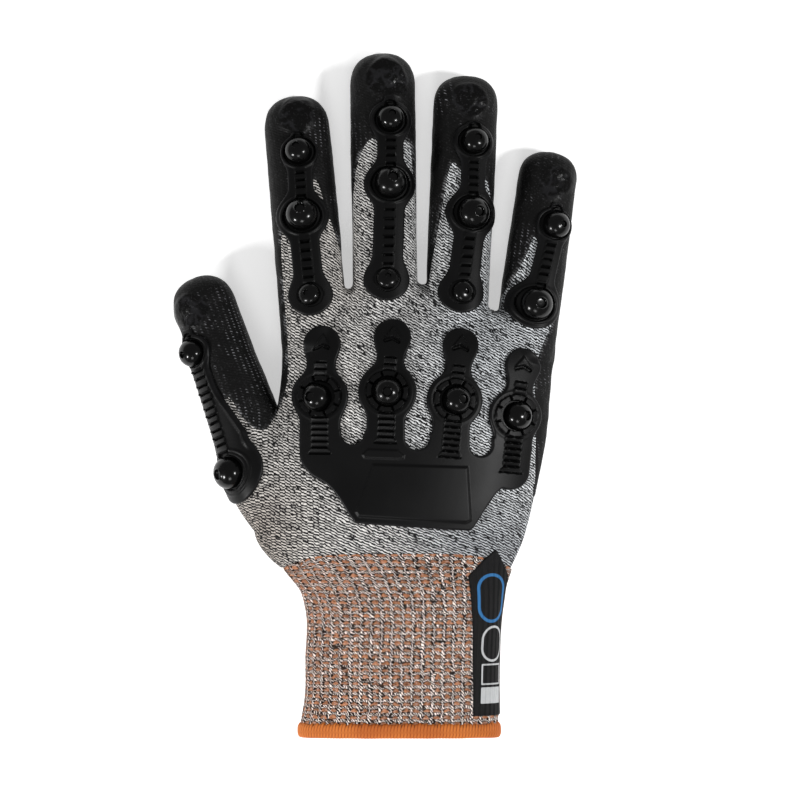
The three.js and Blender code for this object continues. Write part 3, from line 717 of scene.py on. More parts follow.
def digit_sheet(name):
    root, _, cap, *columns = DIGITS[name]
    across_way, along_way, length = digit_axes(name)
    body = length - cap
    straight = np.linspace(0, body, int(body / RING_STEP))
    turn = np.radians(np.arange(5, 90, 5))
    at = np.concatenate([straight, body + (cap + SKIN) * np.sin(turn) ** CAP_POWER])
    size = np.concatenate([np.ones(len(straight)), np.cos(turn) ** CAP_POWER])
    stations = np.linspace(0, body, len(columns[0]))
    half, deep, z = through(stations, np.transpose(columns), np.minimum(at, body)).T
    across, up = squared(turns(SIDES), DIGIT_POWER, DIGIT_POWER)
    across, up = ((half + SKIN) * size)[:, None] * across, ((deep + SKIN) * size)[:, None] * up
    plan = root + across[..., None] * across_way + at[:, None, None] * along_way
    rings = np.concatenate([plan, (z[:, None] + up)[..., None]], -1)
    return lofted(rings[:, ::-1], (*root, z[0]), (*(root + (length + SKIN) * along_way), z[-1]))


VOXEL = 0.85
REST_SOFTNESS = 1.2
FINGER_WEBS, THUMB_WEB = (24, 34, 50, 58), (-16, -8, 6, 14)  # where each is smoothed, along the hand
THUMB_WEB_SIDE = -28


def hand_skin():
    """The knit's surface over the whole hand, smooth at the webs and flat where it rests."""
    lofts = all_of([palm_sheet(), *(digit_sheet(name) for name in DIGITS)])
    skin = relaxed(modified(lofts, "REMESH", mode="VOXEL", voxel_size=VOXEL * MM), 6)
    x, y, _ = skin.points.T
    webs = band(y, *FINGER_WEBS) + band(y, *THUMB_WEB) * (x < THUMB_WEB_SIDE)
    skin = relaxed(skin, 10, np.clip(webs, 0, 1))
    z = skin.points[:, 2]
    skin.points[:, 2] = (z + np.sqrt(z * z + REST_SOFTNESS ** 2)) / 2
    return skin


WALE, COURSE = 1.93, 1.12  # the knit's column and row
TOP_FACING = -0.25
FINGER_TURN, THUMB_TURN, THUMB_END = (28, 50), (-34, -48), 44  # where the columns turn into the digits


def along_field(skin):
    """The way the knit's columns run: along the hand, turning into each digit."""
    x, y, _ = skin.points.T
    fingers = [name for name in DIGITS if name != "thumb"]
    nearest = np.abs(x[:, None] - [DIGITS[name].root[0] for name in fingers]).argmin(1)
    ways = np.array([[*digit_axes(name)[1], 0] for name in fingers])
    finger = eased(*FINGER_TURN, y)[:, None]
    thumb = (eased(*THUMB_TURN, x) * (y < THUMB_END))[:, None]
    field = np.array([0.0, 1.0, 0.0]) * (1 - finger) + ways[nearest] * finger
    return unit(field * (1 - thumb) + np.array([*digit_axes("thumb")[1], 0]) * thumb)


def with_stitches(skin):
    """The skin with the knit's column and row numbers at each point."""
    normals = skin.normals()
    stitch = skin.points[:, :2] / (WALE, COURSE)
    upward = (normals[skin.faces, 2] > TOP_FACING).all(1)
    used = np.unique(skin.faces[upward])
    top = skin.keep(upward)
    across = unit(np.cross(along_field(top), normals[used]))
    along = np.cross(normals[used], across)
    stitch[used, 0] = unrolled(top, across) / WALE
    stitch[used, 1] = unrolled(top, along) / COURSE
    skin.values = {"stitch": stitch, "normal": normals}
    return skin


# Where the coating leaves the knit bare on the back, seen from above
KNIT_WINDOW = {
    "wrist": [(-90, -61), (-66, -31)],
    "thumb": [(-66, -10), (-58, -5), (-55, -1.0), (-52.6, -2.2), (-49, -8.0), (-44.4, -12.2), (-40, -12.6),
              (-35.3, -5.2)],
    "index": [(-33.2, 0.4), (-32, 8), (-32.1, 20.4), (-33.4, 37), (-34.6, 56), (-33.6, 68), (-31.1, 74.8),
              (-26.9, 77), (-21.8, 79.7), (-18.4, 70.9), (-12.6, 53)],
    "middle": [(-9.9, 41.2), (-8.7, 56), (-8.3, 68), (-7.2, 80.6), (-5.2, 89.1), (-0.7, 95.3), (5.8, 92),
               (12.6, 94.1), (14.3, 82), (16.5, 66)],
    "ring": [(19.3, 41.2), (21.8, 52), (23.5, 60.7), (25.2, 70), (27.1, 81), (29.6, 86.3), (35.4, 79),
             (41, 80.6), (43, 73), (43.6, 60), (43.4, 31)],
    "little": [(46.5, 35.6), (52.7, 45.1), (56.5, 52.2), (59.5, 58.8), (61.8, 49.3), (63.5, 33),
               (65.5, 25.6), (63.4, 21), (60.6, 13.5)],
    "side": [(59.4, 4), (59.9, -12), (59.7, -30), (61.5, -41), (90, -48)],
    "open_end": [(90, -90), (-90, -90)],
}
SIDE_SEAM_Z = 13.0
HEEL_EDGE = [(-20, -57), (2, -56), (5, -54.5), (9, -47), (13, -38)]  # height, y
COAT_RISE, COAT_EDGE, COAT_LIFT = 0.5, 0.7, 0.02
HAND_END = Named(at=-58.6, drop=5.4, middle=8.5, half=42)
WRINKLES = Named(broad=0.10, broad_size=9, fine=0.05, fine_size=3.2)
NAIL = Named(rise=0.25, rim=0.26, rim_width=0.8, swirl=0.10, swirl_pace=2.2, uneven=0.12)
NAIL_TOP = (6, 10)  # the heights over which a pad fades in
KNIT_UNDER_COAT = 1.5
LINING_DEPTH = 1.2
LINING_SHARE = 0.15  # of the faces
NAIL_PADS = [
    # x, y, radius
    (-28.4, 103.5, 6.0), (4.4, 117.5, 6.8), (35.8, 109.5, 6.0), (67.0, 78.8, 5.6), (-67.5, 31.0, 6.0),
]


def end_drop(x):
    """How much nearer the hem the hand meets the cuff at the glove's sides than in its middle."""
    return HAND_END.drop * np.clip(np.abs(x - HAND_END.middle) / HAND_END.half, 0, 1) ** 5


def coat_field(points):
    """Distance in from the coating's edge, negative where the knit is bare."""
    window = to_outline(points[:, :2], rounded(sum(KNIT_WINDOW.values(), [])))
    heel = points[:, 1] - np.interp(points[:, 2], *np.transpose(HEEL_EDGE))
    return np.minimum(np.maximum(window, SIDE_SEAM_Z - points[:, 2]), heel)


def coat_relief(points):
    """Wrinkles in the coating, with a round pad over each nail, and how much of a pad each place is."""
    relief = WRINKLES.broad * ripples(points, WRINKLES.broad_size, 11)
    relief += WRINKLES.fine * ripples(points, WRINKLES.fine_size, 12, 11)
    pad = np.zeros(len(points))
    top = eased(*NAIL_TOP, points[:, 2])
    for number, (x, y, radius) in enumerate(NAIL_PADS):
        uneven = NAIL.uneven * ripples(points, 10, 40 + number, 4)
        far = to_circle(points[:, :2], (x, y), 0) * (1 + uneven)
        rim = np.exp(-((far - radius) / NAIL.rim_width) ** 2)
        turned = 3 * ripples(points, 12, 20 + number, 4)
        swirl = np.sin(far * NAIL.swirl_pace + turned) * np.exp(-((far / radius) ** 4))
        inside = 1 - eased(radius - 1, radius + 1, far)
        relief += top * (NAIL.rim * rim + NAIL.rise * inside + NAIL.swirl * swirl)
        pad += top * (1 - eased(radius * 0.8, radius * 1.35, far))
    return relief, pad


skin = with_stitches(hand_skin())
surface_tree = skin.tree()


def knit_and_coating():
    x, y, _ = skin.points.T
    skin.values["end"] = HAND_END.at - end_drop(x) - y
    skin.values["coat"] = coat_field(skin.points)
    hand = skin.inside("end")
    lining = hand.flipped()
    lining.points = lining.points - LINING_DEPTH * lining.values["normal"]
    lining = modified(lining, "DECIMATE", ratio=LINING_SHARE)
    lining.values["stitch"] = lining.points[:, :2] / (WALE, COURSE)
    hand = hand.cut("coat")
    bare = hand.keep(hand.values["coat"][hand.faces].min(1) < KNIT_UNDER_COAT)
    coated = hand.keep(~hand.side("coat"))
    values = coated.values
    inward = np.maximum(values["coat"], 0)
    relief, pad = coat_relief(coated.points)
    rise = COAT_RISE * (1 - np.exp(-inward / COAT_EDGE)) + relief * eased(0, 3, inward) + COAT_LIFT
    coated.points = coated.points + rise[:, None] * values["normal"]
    coated.points[:, 2] = np.maximum(coated.points[:, 2], 0)
    coated.values = {"stitch": values["stitch"], "coat": values["coat"], "pad": pad}
    return all_of([bare, lining]), coated


knit, coat = knit_and_coating()
SPLIT = ("hand", *DIGITS)
add_piece("knitted_hand", knit, ["knit"], [f"knit_{part}" for part in SPLIT])
add_piece("dipped_coating", coat, ["coating"], [f"coating_{part}" for part in SPLIT])


# Moulded reliefs on the hand

GRID = 0.3  # from one point of a moulding to the next
BLUR = 7  # in steps of that grid
ROOT_DEPTH = 0.5


class Chart:
    """A flat map of a stretch of a surface, seen along -out."""

    def __init__(self, tree, across, along, out, origin=(0, 0, 0)):
        self.tree = tree
        self.across, self.along, self.out, self.origin = np.array([across, along, out, origin], float)

    def lift(self, flat):
        return self.origin + flat[:, :1] * self.across + flat[:, 1:2] * self.along

    def heights(self, flat, far=90.0):
        """The surface's height along out at each place, or nan where there is none."""
        down = Vector(-self.out)
        starts = self.lift(flat) + far * self.out
        return np.array([far - (self.tree.ray_cast(Vector(start), down)[3] or np.nan) for start in starts])

    def spot(self, place):
        """The point and the way out of the surface at a place on the chart."""
        around = place + np.array([(0, 0), (2, 0), (-2, 0), (0, 2), (0, -2)])
        points = self.lift(around) + self.heights(around)[:, None] * self.out
        return points[0], unit(np.cross(points[1] - points[2], points[3] - points[4]))


def blurred(grid, reach):
    """A grid of heights with its holes filled from their neighbours and then evened out."""
    known = ~np.isnan(grid)
    filled = np.where(known, grid, 0)
    while not known.all():
        total, count = (sum(np.roll(array, way, (0, 1)) for way in ((0, 1), (0, -1), (1, 0), (-1, 0)))
                        for array in (np.where(known, filled, 0), known.astype(float)))
        fresh = ~known & (count > 0)
        filled[fresh] = (total / np.maximum(count, 1))[fresh]
        known |= fresh
    kernel = np.hanning(2 * reach + 3)[1:-1]
    kernel /= kernel.sum()
    for _ in range(2):  # each round turns the grid, so both ways are evened out
        padded = np.pad(filled, ((reach, reach), (0, 0)), mode="edge")
        filled = np.apply_along_axis(np.convolve, 0, padded, kernel, "valid").T
    return filled


def moulded(chart, low, high, outline, height):
    """A sheet over a chart between two corners, cut to an outline and raised, with walls to its root."""
    u, v = (np.arange(start, end, GRID) for start, end in zip(low, high))
    flat = np.stack(np.meshgrid(u, v), -1).reshape(-1, 2)
    ground = blurred(chart.heights(flat).reshape(len(v), len(u)), BLUR)
    points = chart.lift(flat) + ground.reshape(-1, 1) * chart.out
    grid = points.reshape(len(v), len(u), 3)
    normal = unit(np.cross(np.gradient(grid, axis=1), np.gradient(grid, axis=0)).reshape(-1, 3))
    sheet = Sheet(points, grid_faces(len(v), len(u)), flat=flat, normal=normal, rim_distance=outline(flat))
    sheet = sheet.keep((sheet.values["rim_distance"][sheet.faces] < 2 * GRID).any(1)).inside("rim_distance")
    base, values = sheet.points, sheet.values
    rise, values["edge"] = height(values["flat"], -values["rim_distance"])
    rim = sheet.rim()
    starts = np.unique(rim)
    number = np.zeros(len(base), int)
    number[starts] = len(base) + np.arange(len(starts))
    a, b = rim.T
    walls = [np.stack([b, a, number[a]], 1), np.stack([b, number[a], number[b]], 1)]
    top = base + rise[:, None] * values["normal"]
    root = (base - ROOT_DEPTH * values["normal"])[starts]
    values = {name: np.concatenate([value, value[starts]]) for name, value in values.items()}
    return Sheet(np.concatenate([top, root]), np.concatenate([sheet.faces, *walls]), 0, **values)


PLATE = 1.75  # the guards' thickness above the knit
BEVEL = Named(width=0.7, drop=0.55)
WORN_EDGE = (0.1, 1.3)
COLLAR = Named(pitch=1.2, rise=0.35, power=2.5)
DOME_SIDES = 48
DOME_CURVE = Named(steps=15, flank=0.82, rise=1.05, foot=0.97)  # powers, and the foot's share of the radius
# Radius, rise above the plate, crater's radius and depth, and the width and depth of the well at its foot
Dome = namedtuple("Dome", "radius rise dimple deep trench well")
DOMES = {
    "small": Dome(5.0, 4.3, 1.5, 0.9, 0.35, 0.9),
    "large": Dome(6.0, 5.0, 2.2, 1.0, 0.4, 0.9),
    "knuckle": Dome(5.3, 4.9, 2.1, 1.0, 0.5, 0.9),
    "low": Dome(4.2, 2.3, 1.2, 0.8, 0.3, 0.3),
}
CRATER = [
    # share of the crater's radius, and height as a share of its depth
    (0.98, 0.08), (0.93, 0.11), (0.88, 0.04), (0.83, -0.22), (0.77, -0.62), (0.68, -0.92), (0.45, -1.0),
    (0.15, -0.98),
]


def dome_sheet(kind, place, out, lean):
    """A glossy dome with a crater in its crown, tipped by degrees towards +X and +Y."""
    dome = DOMES[kind]
    turn = np.radians(np.linspace(0, 90, DOME_CURVE.steps))
    crown = dome.dimple / dome.radius
    flank = np.cos(turn) ** DOME_CURVE.flank
    stop = np.argmax(flank <= crown) + 1
    rise = (PLATE + dome.rise * np.sin(turn) ** DOME_CURVE.rise)[:stop]
    inner, fall = np.transpose(CRATER)
    radius = dome.radius * np.maximum(flank, crown)[:stop]
    radius = np.concatenate([[dome.radius * DOME_CURVE.foot], radius, dome.dimple * inner])
    rise = np.concatenate([[-ROOT_DEPTH], rise, rise[-1] + dome.deep * fall])
    tipped = unit(out + np.tan(np.radians([*lean, 0])))
    side = unit(np.cross((0, 1, 0), tipped))
    angle = turns(DOME_SIDES)[:, None]
    ring = np.cos(angle) * side + np.sin(angle) * np.cross(tipped, side)
    points = place + radius[:, None, None] * ring + rise[:, None, None] * tipped
    points = np.concatenate([points.reshape(-1, 3), [place + rise[-1] * tipped]])
    total = len(points) - 1
    cap = fan(total, total - DOME_SIDES, DOME_SIDES)
    faces = np.concatenate([grid_faces(len(radius), DOME_SIDES, closed=True), cap])
    return Sheet(points, faces, 1, edge=np.zeros(len(points)))


def add_guard(name, chart, low, high, outline, height, domes):
    """A guard's moulding with its domes, each given as its kind, its place on the chart and its lean."""
    sheets = [dome_sheet(kind, *chart.spot(place), lean) for kind, place, lean in domes]
    sheet = all_of([moulded(chart, low, high, outline, height), *sheets])
    add_piece(f"{name}_guard_moulding", sheet, ["guard", "dome"], [f"{name}_guard"], sharp=42)


def plate_height(inward):
    """A plate's height with a rounded edge, from the distance in from its rim, and how near the edge is."""
    bevel = np.clip(inward / BEVEL.width, 0, 1)
    return PLATE - BEVEL.drop * (1 - np.sqrt(1 - (1 - bevel) ** 2)), 1 - eased(*WORN_EDGE, inward)


def collared(height, flat, middle, kind, collars):
    """A well round a dome's foot and round collars outside it."""
    dome = DOMES[kind]
    far = to_circle(flat, middle, dome.radius + dome.trench)
    for number in range(collars):
        off = np.abs((far - number * COLLAR.pitch) / COLLAR.pitch * 2 - 1)
        height = height + COLLAR.rise * np.clip(1 - off ** COLLAR.power, 0, 1)
    return np.where(far < 0, PLATE - dome.well, height)


# A ladder's half width, rise and tilt, its slots' half width and pitch, the first slot's place from the
# dome's middle, and the wide last slot's length
Ladder = namedtuple("Ladder", "half rise tilt slot_half pitch first wide")
LADDERS = {
    "upper": Ladder(1.85, 0.35, 0.3, 1.45, 2.8, 7.9, 1.3),
    "lower": Ladder(1.9, 0.35, 0.3, 1.5, 3.35, 9.9, 0.0),
    "thumb": Ladder(3.1, 0.5, 0.9, 2.7, 2.9, 7.2, 1.0),
}
SLOT = Named(half=0.45, deep=1.2, soft=0.16, from_end=0.9)
TIP_SLOT = Named(at=5.4, radius=1.6, half=0.45, deep=1.1, soft=0.2)
TAB_CORNER = 0.8
# Where the slopes at a ladder's side, start and end lie, from its half width and from the wells' rims
LADDER_SIDE, LADDER_START, LADDER_END = (-0.2, 0.2), (0.8, 1.2), (-0.3, 0.0)
# How softly a guard's outline joins at a pad, a neck, a leg, a knuckle and a lobe's round end
FILLET = Named(pad=1.5, neck=3.0, leg=0.6, knuckle=2.0, end=2.5)
RAIL = Named(inward=1.2, half=0.8, rise=0.7, begins=(3, 8), ends=(-9, -4))  # begins and ends by its pads


def laddered(height, flat, side, start, end):
    """A raised strip along a neck, in blocks that step like scales, between the wells round two domes."""
    half, rise, tilt, slot_half, pitch, first, wide = LADDERS[start.ladder]
    near, far = (DOMES[pad.dome].radius + DOMES[pad.dome].trench for pad in (start, end))
    length = end.at - start.at
    at = flat[:, 1] - start.at
    off = np.abs(flat[:, 0] - side)
    within = eased(*LADDER_START, at - near) * (1 - eased(*LADDER_END, at - length + far))
    step = np.mod((at - first) / pitch, 1)
    height = height + within * (1 - eased(*LADDER_SIDE, off - half)) * (rise + tilt * (step - 0.5))
    last = first + pitch * int((length - far - wide - SLOT.from_end - first) / pitch)
    along = np.abs(at - np.clip(first + pitch * np.round((at - first) / pitch), first, last)) - SLOT.half
    if wide:
        along = np.minimum(along, np.abs(at - length + far + wide / 2) - wide / 2)
    return raised(height, np.maximum(along, off - slot_half), -SLOT.deep, SLOT.soft)


# How far a guard leans to the thumb's side, its blunt tab's start and half width, and its pads from the tip
# to the root. A pad's neck and ladder lie after it. A neck that widens has its half widths along its inner
# side, and a rail there.
Guard = namedtuple("Guard", "lean tab_at tab_half pads")
Pad = namedtuple("Pad", "side at radius dome lean neck ladder inner", defaults=(None, None, None))
DIGIT_GUARDS = {
    "thumb": Guard(47, 17.5, 2.4, [
        Pad(1.2, 26.6, 6.6, "small", (-6, 0), 6.6, "thumb", [(30, 4.7), (44, 5.5), (53, 7.9), (61, 9.8)]),
        Pad(-0.4, 73.4, 11.6, "large", (-6, 0)),
    ]),
    "index": Guard(3, 14.6, 2.2, [
        Pad(-0.5, 22.4, 6.5, "small", (-14, 20), 4.4, "upper"),
        Pad(0.4, 46.5, 9.1, "large", (-5, 20), 5.1, "lower"),
        Pad(0, 76.3, 7.7, "low", (-24, 10)),
    ]),
    "middle": Guard(-8, 16.8, 1.9, [
        Pad(-1.5, 26.3, 7.4, "small", (2, 20), 4.6, "upper"),
        Pad(-0.9, 50.4, 8.9, "large", (6, 20), 5.3, "lower"),
        Pad(0.8, 86.2, 7.8, "low", (6, 20)),
    ]),
    "ring": Guard(-14, 18.3, 1.9, [
        Pad(-1.3, 25.9, 7.1, "small", (10, 12), 4.3, "upper"),
        Pad(-1.3, 52.6, 9.0, "large", (14, -2), 5.3, "lower"),
        Pad(1.3, 82.4, 7.7, "low", (22, 2)),
    ]),
    "little": Guard(-20, 19.5, 1.9, [
        Pad(-1.8, 27.9, 6.3, "small", (20, -2), 4.4, "upper"),
        Pad(1.6, 58.3, 9.2, "large", (12, -2)),
    ]),
}


def digit_chart(name):
    """A digit guard's chart: +Y from tip to root, +X to the thumb's side, leaning about the digit."""
    root, tip, *_, z = DIGITS[name]
    start = np.array([*tip, z[-1]])
    along = unit(np.array([*root, z[0]]) - start)
    across = unit(np.cross(along, (0, 0, 1)))
    out = np.cross(across, along)
    lean = math.radians(DIGIT_GUARDS[name].lean)
    c, s = math.cos(lean), math.sin(lean)
    return Chart(surface_tree, c * across - s * out, along, c * out + s * across, start)


def neck_half(flat, pad):
    """A neck's half width, which varies along the inner side of one that widens."""
    if pad.inner is None:
        return pad.neck
    return np.where(flat[:, 0] < pad.side, through(*np.transpose(pad.inner), flat[:, 1]), pad.neck)


def railed(height, flat, inward, pad, after):
    """A round rail along the inner rim of a neck that widens."""
    ridge = np.clip(1 - ((inward - RAIL.inward) / RAIL.half) ** 2, 0, 1)
    y = flat[:, 1]
    within = eased(*RAIL.begins, y - pad.at) * (1 - eased(*RAIL.ends, y - after.at))
    return height + RAIL.rise * ridge * within * (flat[:, 0] < pad.side)


def add_digit_guard(name):
    _, tab_at, tab_half, pads = DIGIT_GUARDS[name]
    first, last = pads[0], pads[-1]
    necks = list(zip(pads, pads[1:]))

    def outline(flat):
        middle, half = (first.side, (tab_at + first.at) / 2), (tab_half, (first.at - tab_at) / 2)
        field = to_box(flat, middle, half, TAB_CORNER)
        for pad in pads:
            field = joined(field, to_circle(flat, pad[:2], pad.radius), FILLET.pad)
        for pad, after in necks:
            field = joined(field, to_line(flat, pad[:2], after[:2]) - neck_half(flat, pad), FILLET.neck)
        return field

    def height(flat, inward):
        rise, edge = plate_height(inward)
        for pad, after in necks:
            side = np.interp(flat[:, 1], (pad.at, after.at), (pad.side, after.side))
            rise = laddered(rise, flat, side, pad, after)
            if pad.inner is not None:
                rise = railed(rise, flat, inward, pad, after)
        for pad in pads:
            collars = 2 if pad.radius > 10 else int(pad.dome != "low")
            rise = collared(rise, flat, pad[:2], pad.dome, collars)
        middle = (first.side, first.at - TIP_SLOT.at)
        slot = np.abs(to_circle(flat, middle, TIP_SLOT.radius)) - TIP_SLOT.half
        beyond = flat[:, 1] - first.at + TIP_SLOT.at
        return raised(rise, np.maximum(slot, beyond), -TIP_SLOT.deep, TIP_SLOT.soft), edge

    reach = max(pad.radius for pad in pads) + 4
    low, high = (-reach, tab_at - 3), (reach, last.at + last.radius + 3)
    domes = [(pad.dome, pad[:2], pad.lean) for pad in pads]
    add_guard(name, digit_chart(name), low, high, outline, height, domes)


# A lobe's round end, its neck, its knuckle, its leg down to its foot, its dome with its lean, and its bars
Lobe = namedtuple("Lobe", "end end_radius neck knuckle radius leg foot dome lean bars")
LOBES = [
    Lobe((-19.1, 18.6), 6.7, 5.2, (-19.7, -0.7), 10.2, 7.35, (-19.7, -22), (-20.4, -1.2), (-18, -2), 6),
    Lobe((6.7, 20.9), 6.8, 5.1, (4.9, 1.0), 10.7, 7.2, (3.9, -24), (5.0, 1.0), (0, -6), 5),
    Lobe((31.7, 17.9), 6.5, 4.85, (29.4, -2.0), 10.2, 7.2, (27.2, -26), (29.7, -2.1), (22, 2), 6),
    Lobe((54.6, 10.8), 6.3, 4.8, (51.6, -7.7), 9.5, 7.05, (49.6, -28), (51.9, -7.9), (25, 2), 6),
]
NOTCHES = [(-7.8, -14.0, 4.25), (15.8, -15.7, 4.55), (39.0, -18.5, 4.1)]  # x, top's y, radius
PLATE_OUTLINE = [
    (56.8, -22.0), (55.8, -25.6), (52.9, -31.2), (49.5, -33), (46.9, -34.3), (44.4, -36.5), (40.5, -42.2),
    (36.7, -48.2), (35.2, -49.6), (33.1, -49.9), (9.5, -48.3), (-5.5, -47.2), (-7.8, -45.8), (-9.5, -43.6),
    (-12.4, -38.8), (-15.5, -34.7), (-18.0, -32.5), (-20.6, -31.0), (-23.7, -28.9), (-26.0, -24.6),
    (-26.9, -18), (-25.6, -13.5), (-14, -13), (20, -14), (45, -16), (56.6, -18.5),
]
PANEL = [(-0.4, -25.6), (-6.6, -43.0), (-5.6, -44.5), (33.4, -46.8), (35.0, -46.0), (33.9, -26.6)]
PLINTH = [(-2.2, -20.0), (8.6, -20.4), (10.9, -22.3), (10.6, -23.6), (-3.4, -23.2), (-4.3, -22.0)]
ARROWHEAD = [(0, 3.6), (3.2, -1.2), (0, 0.1), (-3.2, -1.2)]
ARROW_EDGE = [(3.2, -1.2), (0, 0.1), (-3.2, -1.2), (-2.7, -2.2), (0, -1.0), (2.7, -2.2)]
# Rise or depth, and half the width of the slope at the edge
PANEL_STEP, PLINTH_STEP, ARROWHEAD_STEP, ARROW_CUT = (0.6, 0.6), (0.5, 0.4), (0.65, 0.28), (-0.9, 0.2)
BLOCKS = Named(inner=0.25, outer=2.3, count=8, turn=17, slot=0.55, rise=0.95, soft=0.2)
BLOCK_GROOVE = Named(deep=0.45, out=0.15, soft=0.15)
BLOCK_LIP = Named(out=1.2, half=0.5, rise=0.15, from_rim=0.3)
LEG_BARS = Named(half=3.0, pitch=2.2, tall=0.8, tilt=-0.4, start=8.9, flare=0.55)
NECK_BARS = Named(half=2.25, pitch=2.5, tall=0.9, tilt=0.3, start=8.7, flare=0.0)
NECK_BAR_COUNT = 2
BAR = Named(rise=0.5, soft=0.3, slot_half=0.22, slot_in=0.2, slot_deep=0.7, slot_soft=0.2)


def strip_axes(flat, start, end):
    """Places along a strip, from its start, and across it."""
    way = unit(np.subtract(end, start))
    return (flat - start) @ way, (flat - start) @ np.array([way[1], -way[0]])


def knuckle_outline(flat):
    x, y = flat.T
    field = to_outline(flat, rounded(PLATE_OUTLINE, 4))
    for lobe in LOBES:
        field = joined(field, to_line(flat, lobe.knuckle, lobe.foot) - lobe.leg, FILLET.leg)
    for middle_x, top_y, radius in NOTCHES:
        top = np.where(y > top_y, np.abs(x - middle_x), np.hypot(x - middle_x, y - top_y)) - radius
        field = np.where(y < 0, np.maximum(field, -top), field)
    for lobe in LOBES:
        field = joined(field, to_circle(flat, lobe.knuckle, lobe.radius), FILLET.knuckle)
        arm = to_line(flat, lobe.knuckle, lobe.end) - lobe.neck
        arm = joined(to_circle(flat, lobe.end, lobe.end_radius), arm, FILLET.end)
        field = joined(field, arm, FILLET.end)
    return field


def bar_row(height, along, across, bars, count):
    """A row of tilted bars across a strip, each with a slot after it. The last one may widen away from the
    dome."""
    for number in range(count):
        at = along - (bars.start + number * bars.pitch)
        half = bars.half + bars.flare * (number == count - 1) * (1 + at / bars.tall)
        bar = np.maximum(np.abs(at) - bars.tall, np.abs(across) - half)
        slot = np.maximum(np.abs(at - bars.pitch / 2) - BAR.slot_half, np.abs(across) - half + BAR.slot_in)
        height = raised(height, bar, BAR.rise + bars.tilt * np.clip(at / bars.tall, -1, 1), BAR.soft)
        height = raised(height, slot, -BAR.slot_deep, BAR.slot_soft)
    return height


def ringed(height, gap, inward):
    """A ring of blocks round a knuckle's dome, in a groove with a low lip, and the well round the dome."""
    dome = DOMES["knuckle"]
    far = np.hypot(*gap.T)
    angle = np.degrees(np.arctan2(gap[:, 1], gap[:, 0])) - BLOCKS.turn
    sector = 360 / BLOCKS.count
    from_slot = np.radians(np.abs((angle + sector / 2) % sector - sector / 2)) * far
    inside, outside = dome.radius + BLOCKS.inner - far, far - (dome.radius + BLOCKS.outer)
    block = np.maximum(np.maximum(inside, outside), BLOCKS.slot / 2 - from_slot)
    groove = np.maximum(inside, outside - BLOCK_GROOVE.out)
    height = raised(height, groove, -BLOCK_GROOVE.deep, BLOCK_GROOVE.soft)
    height = raised(height, block, BLOCKS.rise + BLOCK_GROOVE.deep, BLOCKS.soft)
    lip = np.exp(-((outside - BLOCK_LIP.out) / BLOCK_LIP.half) ** 2) * (inward > BLOCK_LIP.from_rim)
    return np.where(inside > 0, PLATE - dome.well, height + BLOCK_LIP.rise * lip)


def knuckle_height(flat, inward):
    rise, edge = plate_height(inward)
    rise = raised(rise, to_outline(flat, PANEL), *PANEL_STEP)
    for lobe in LOBES:
        rise = bar_row(rise, *strip_axes(flat, lobe.knuckle, lobe.foot), LEG_BARS, lobe.bars)
        along, across = strip_axes(flat, lobe.knuckle, lobe.end)
        rise = bar_row(rise, along, across, NECK_BARS, NECK_BAR_COUNT)
        arrow = np.stack([across, along - math.dist(lobe.end, lobe.knuckle)], 1)
        rise = raised(rise, to_outline(arrow, ARROWHEAD), *ARROWHEAD_STEP)
        rise = raised(rise, to_outline(arrow, ARROW_EDGE), *ARROW_CUT)
        rise = ringed(rise, flat - lobe.knuckle, inward)
    return raised(rise, to_outline(flat, PLINTH), *PLINTH_STEP), edge


for name in DIGITS:
    add_digit_guard(name)
knuckle_chart = Chart(surface_tree, (1, 0, 0), (0, 1, 0), (0, 0, 1))
knuckle_domes = [("knuckle", lobe.dome, lobe.lean) for lobe in LOBES]
add_guard("knuckle", knuckle_chart, (-33, -54), (64, 30), knuckle_outline, knuckle_height, knuckle_domes)


# The cuff

CUFF_ROWS = [
    # y, left, right, low, high, crown shift
    (-122.5, -27.0, 45.4, 1.5, 33.4, 0.0),
    (-118.5, -26.3, 45.5, 1.6, 33.5, 0.0),
    (-113.0, -25.4, 45.4, 1.8, 33.8, 0.0),
    (-98.0, -25.1, 45.5, 2.2, 34.4, 0.4),
    (-79.0, -25.2, 46.8, 2.6, 35.0, 1.0),
    (-72.0, -27.4, 48.2, 2.4, 35.0, 3.0),
    (-67.5, -30.8, 49.6, 2.2, 34.8, 5.0),
    (-64.0, -33.6, 50.8, 2.0, 34.6, 6.6),
    (-60.8, -37.7, 52.3, 1.9, 34.4, 8.0),
    (-57.2, -41.4, 54.2, 0.4, 35.1, 8.0),
]
CUFF_START, CUFF_END = CUFF_ROWS[0][0], CUFF_ROWS[-1][0]
RIB_COLUMNS = 45
RIB_ROW = 2.5  # from one orange arch to the next
POINTS_PER_RIB = 12
CUFF_ROW_STEP = 0.42
CUFF_SURFACE = 0.15
CUFF_TUCK = (-60.0, -58.2)  # where the cuff slips under the hand's end
CUFF_BEND = (-68, -58)  # where its rows bend with that end
RIB = Named(wale=0.5, wale_half=0.3, knot=0.3, arch=0.28, arch_half=0.2, arch_shift=0.13, tuck=0.6)
INNER_WALL = Named(inward=1.8, end=-62, rows=16, points_per_rib=3)
HEM = Named(top=-121.7, end=-127.1, bulge=1.6, wall=3.0, turn=1.2, ridge=0.2, slant=2.2, sag=0.45,
            power=2.6, uneven=0.25, teeth=0.35)
HEM_SIDES = 840
HEM_STEPS = 30


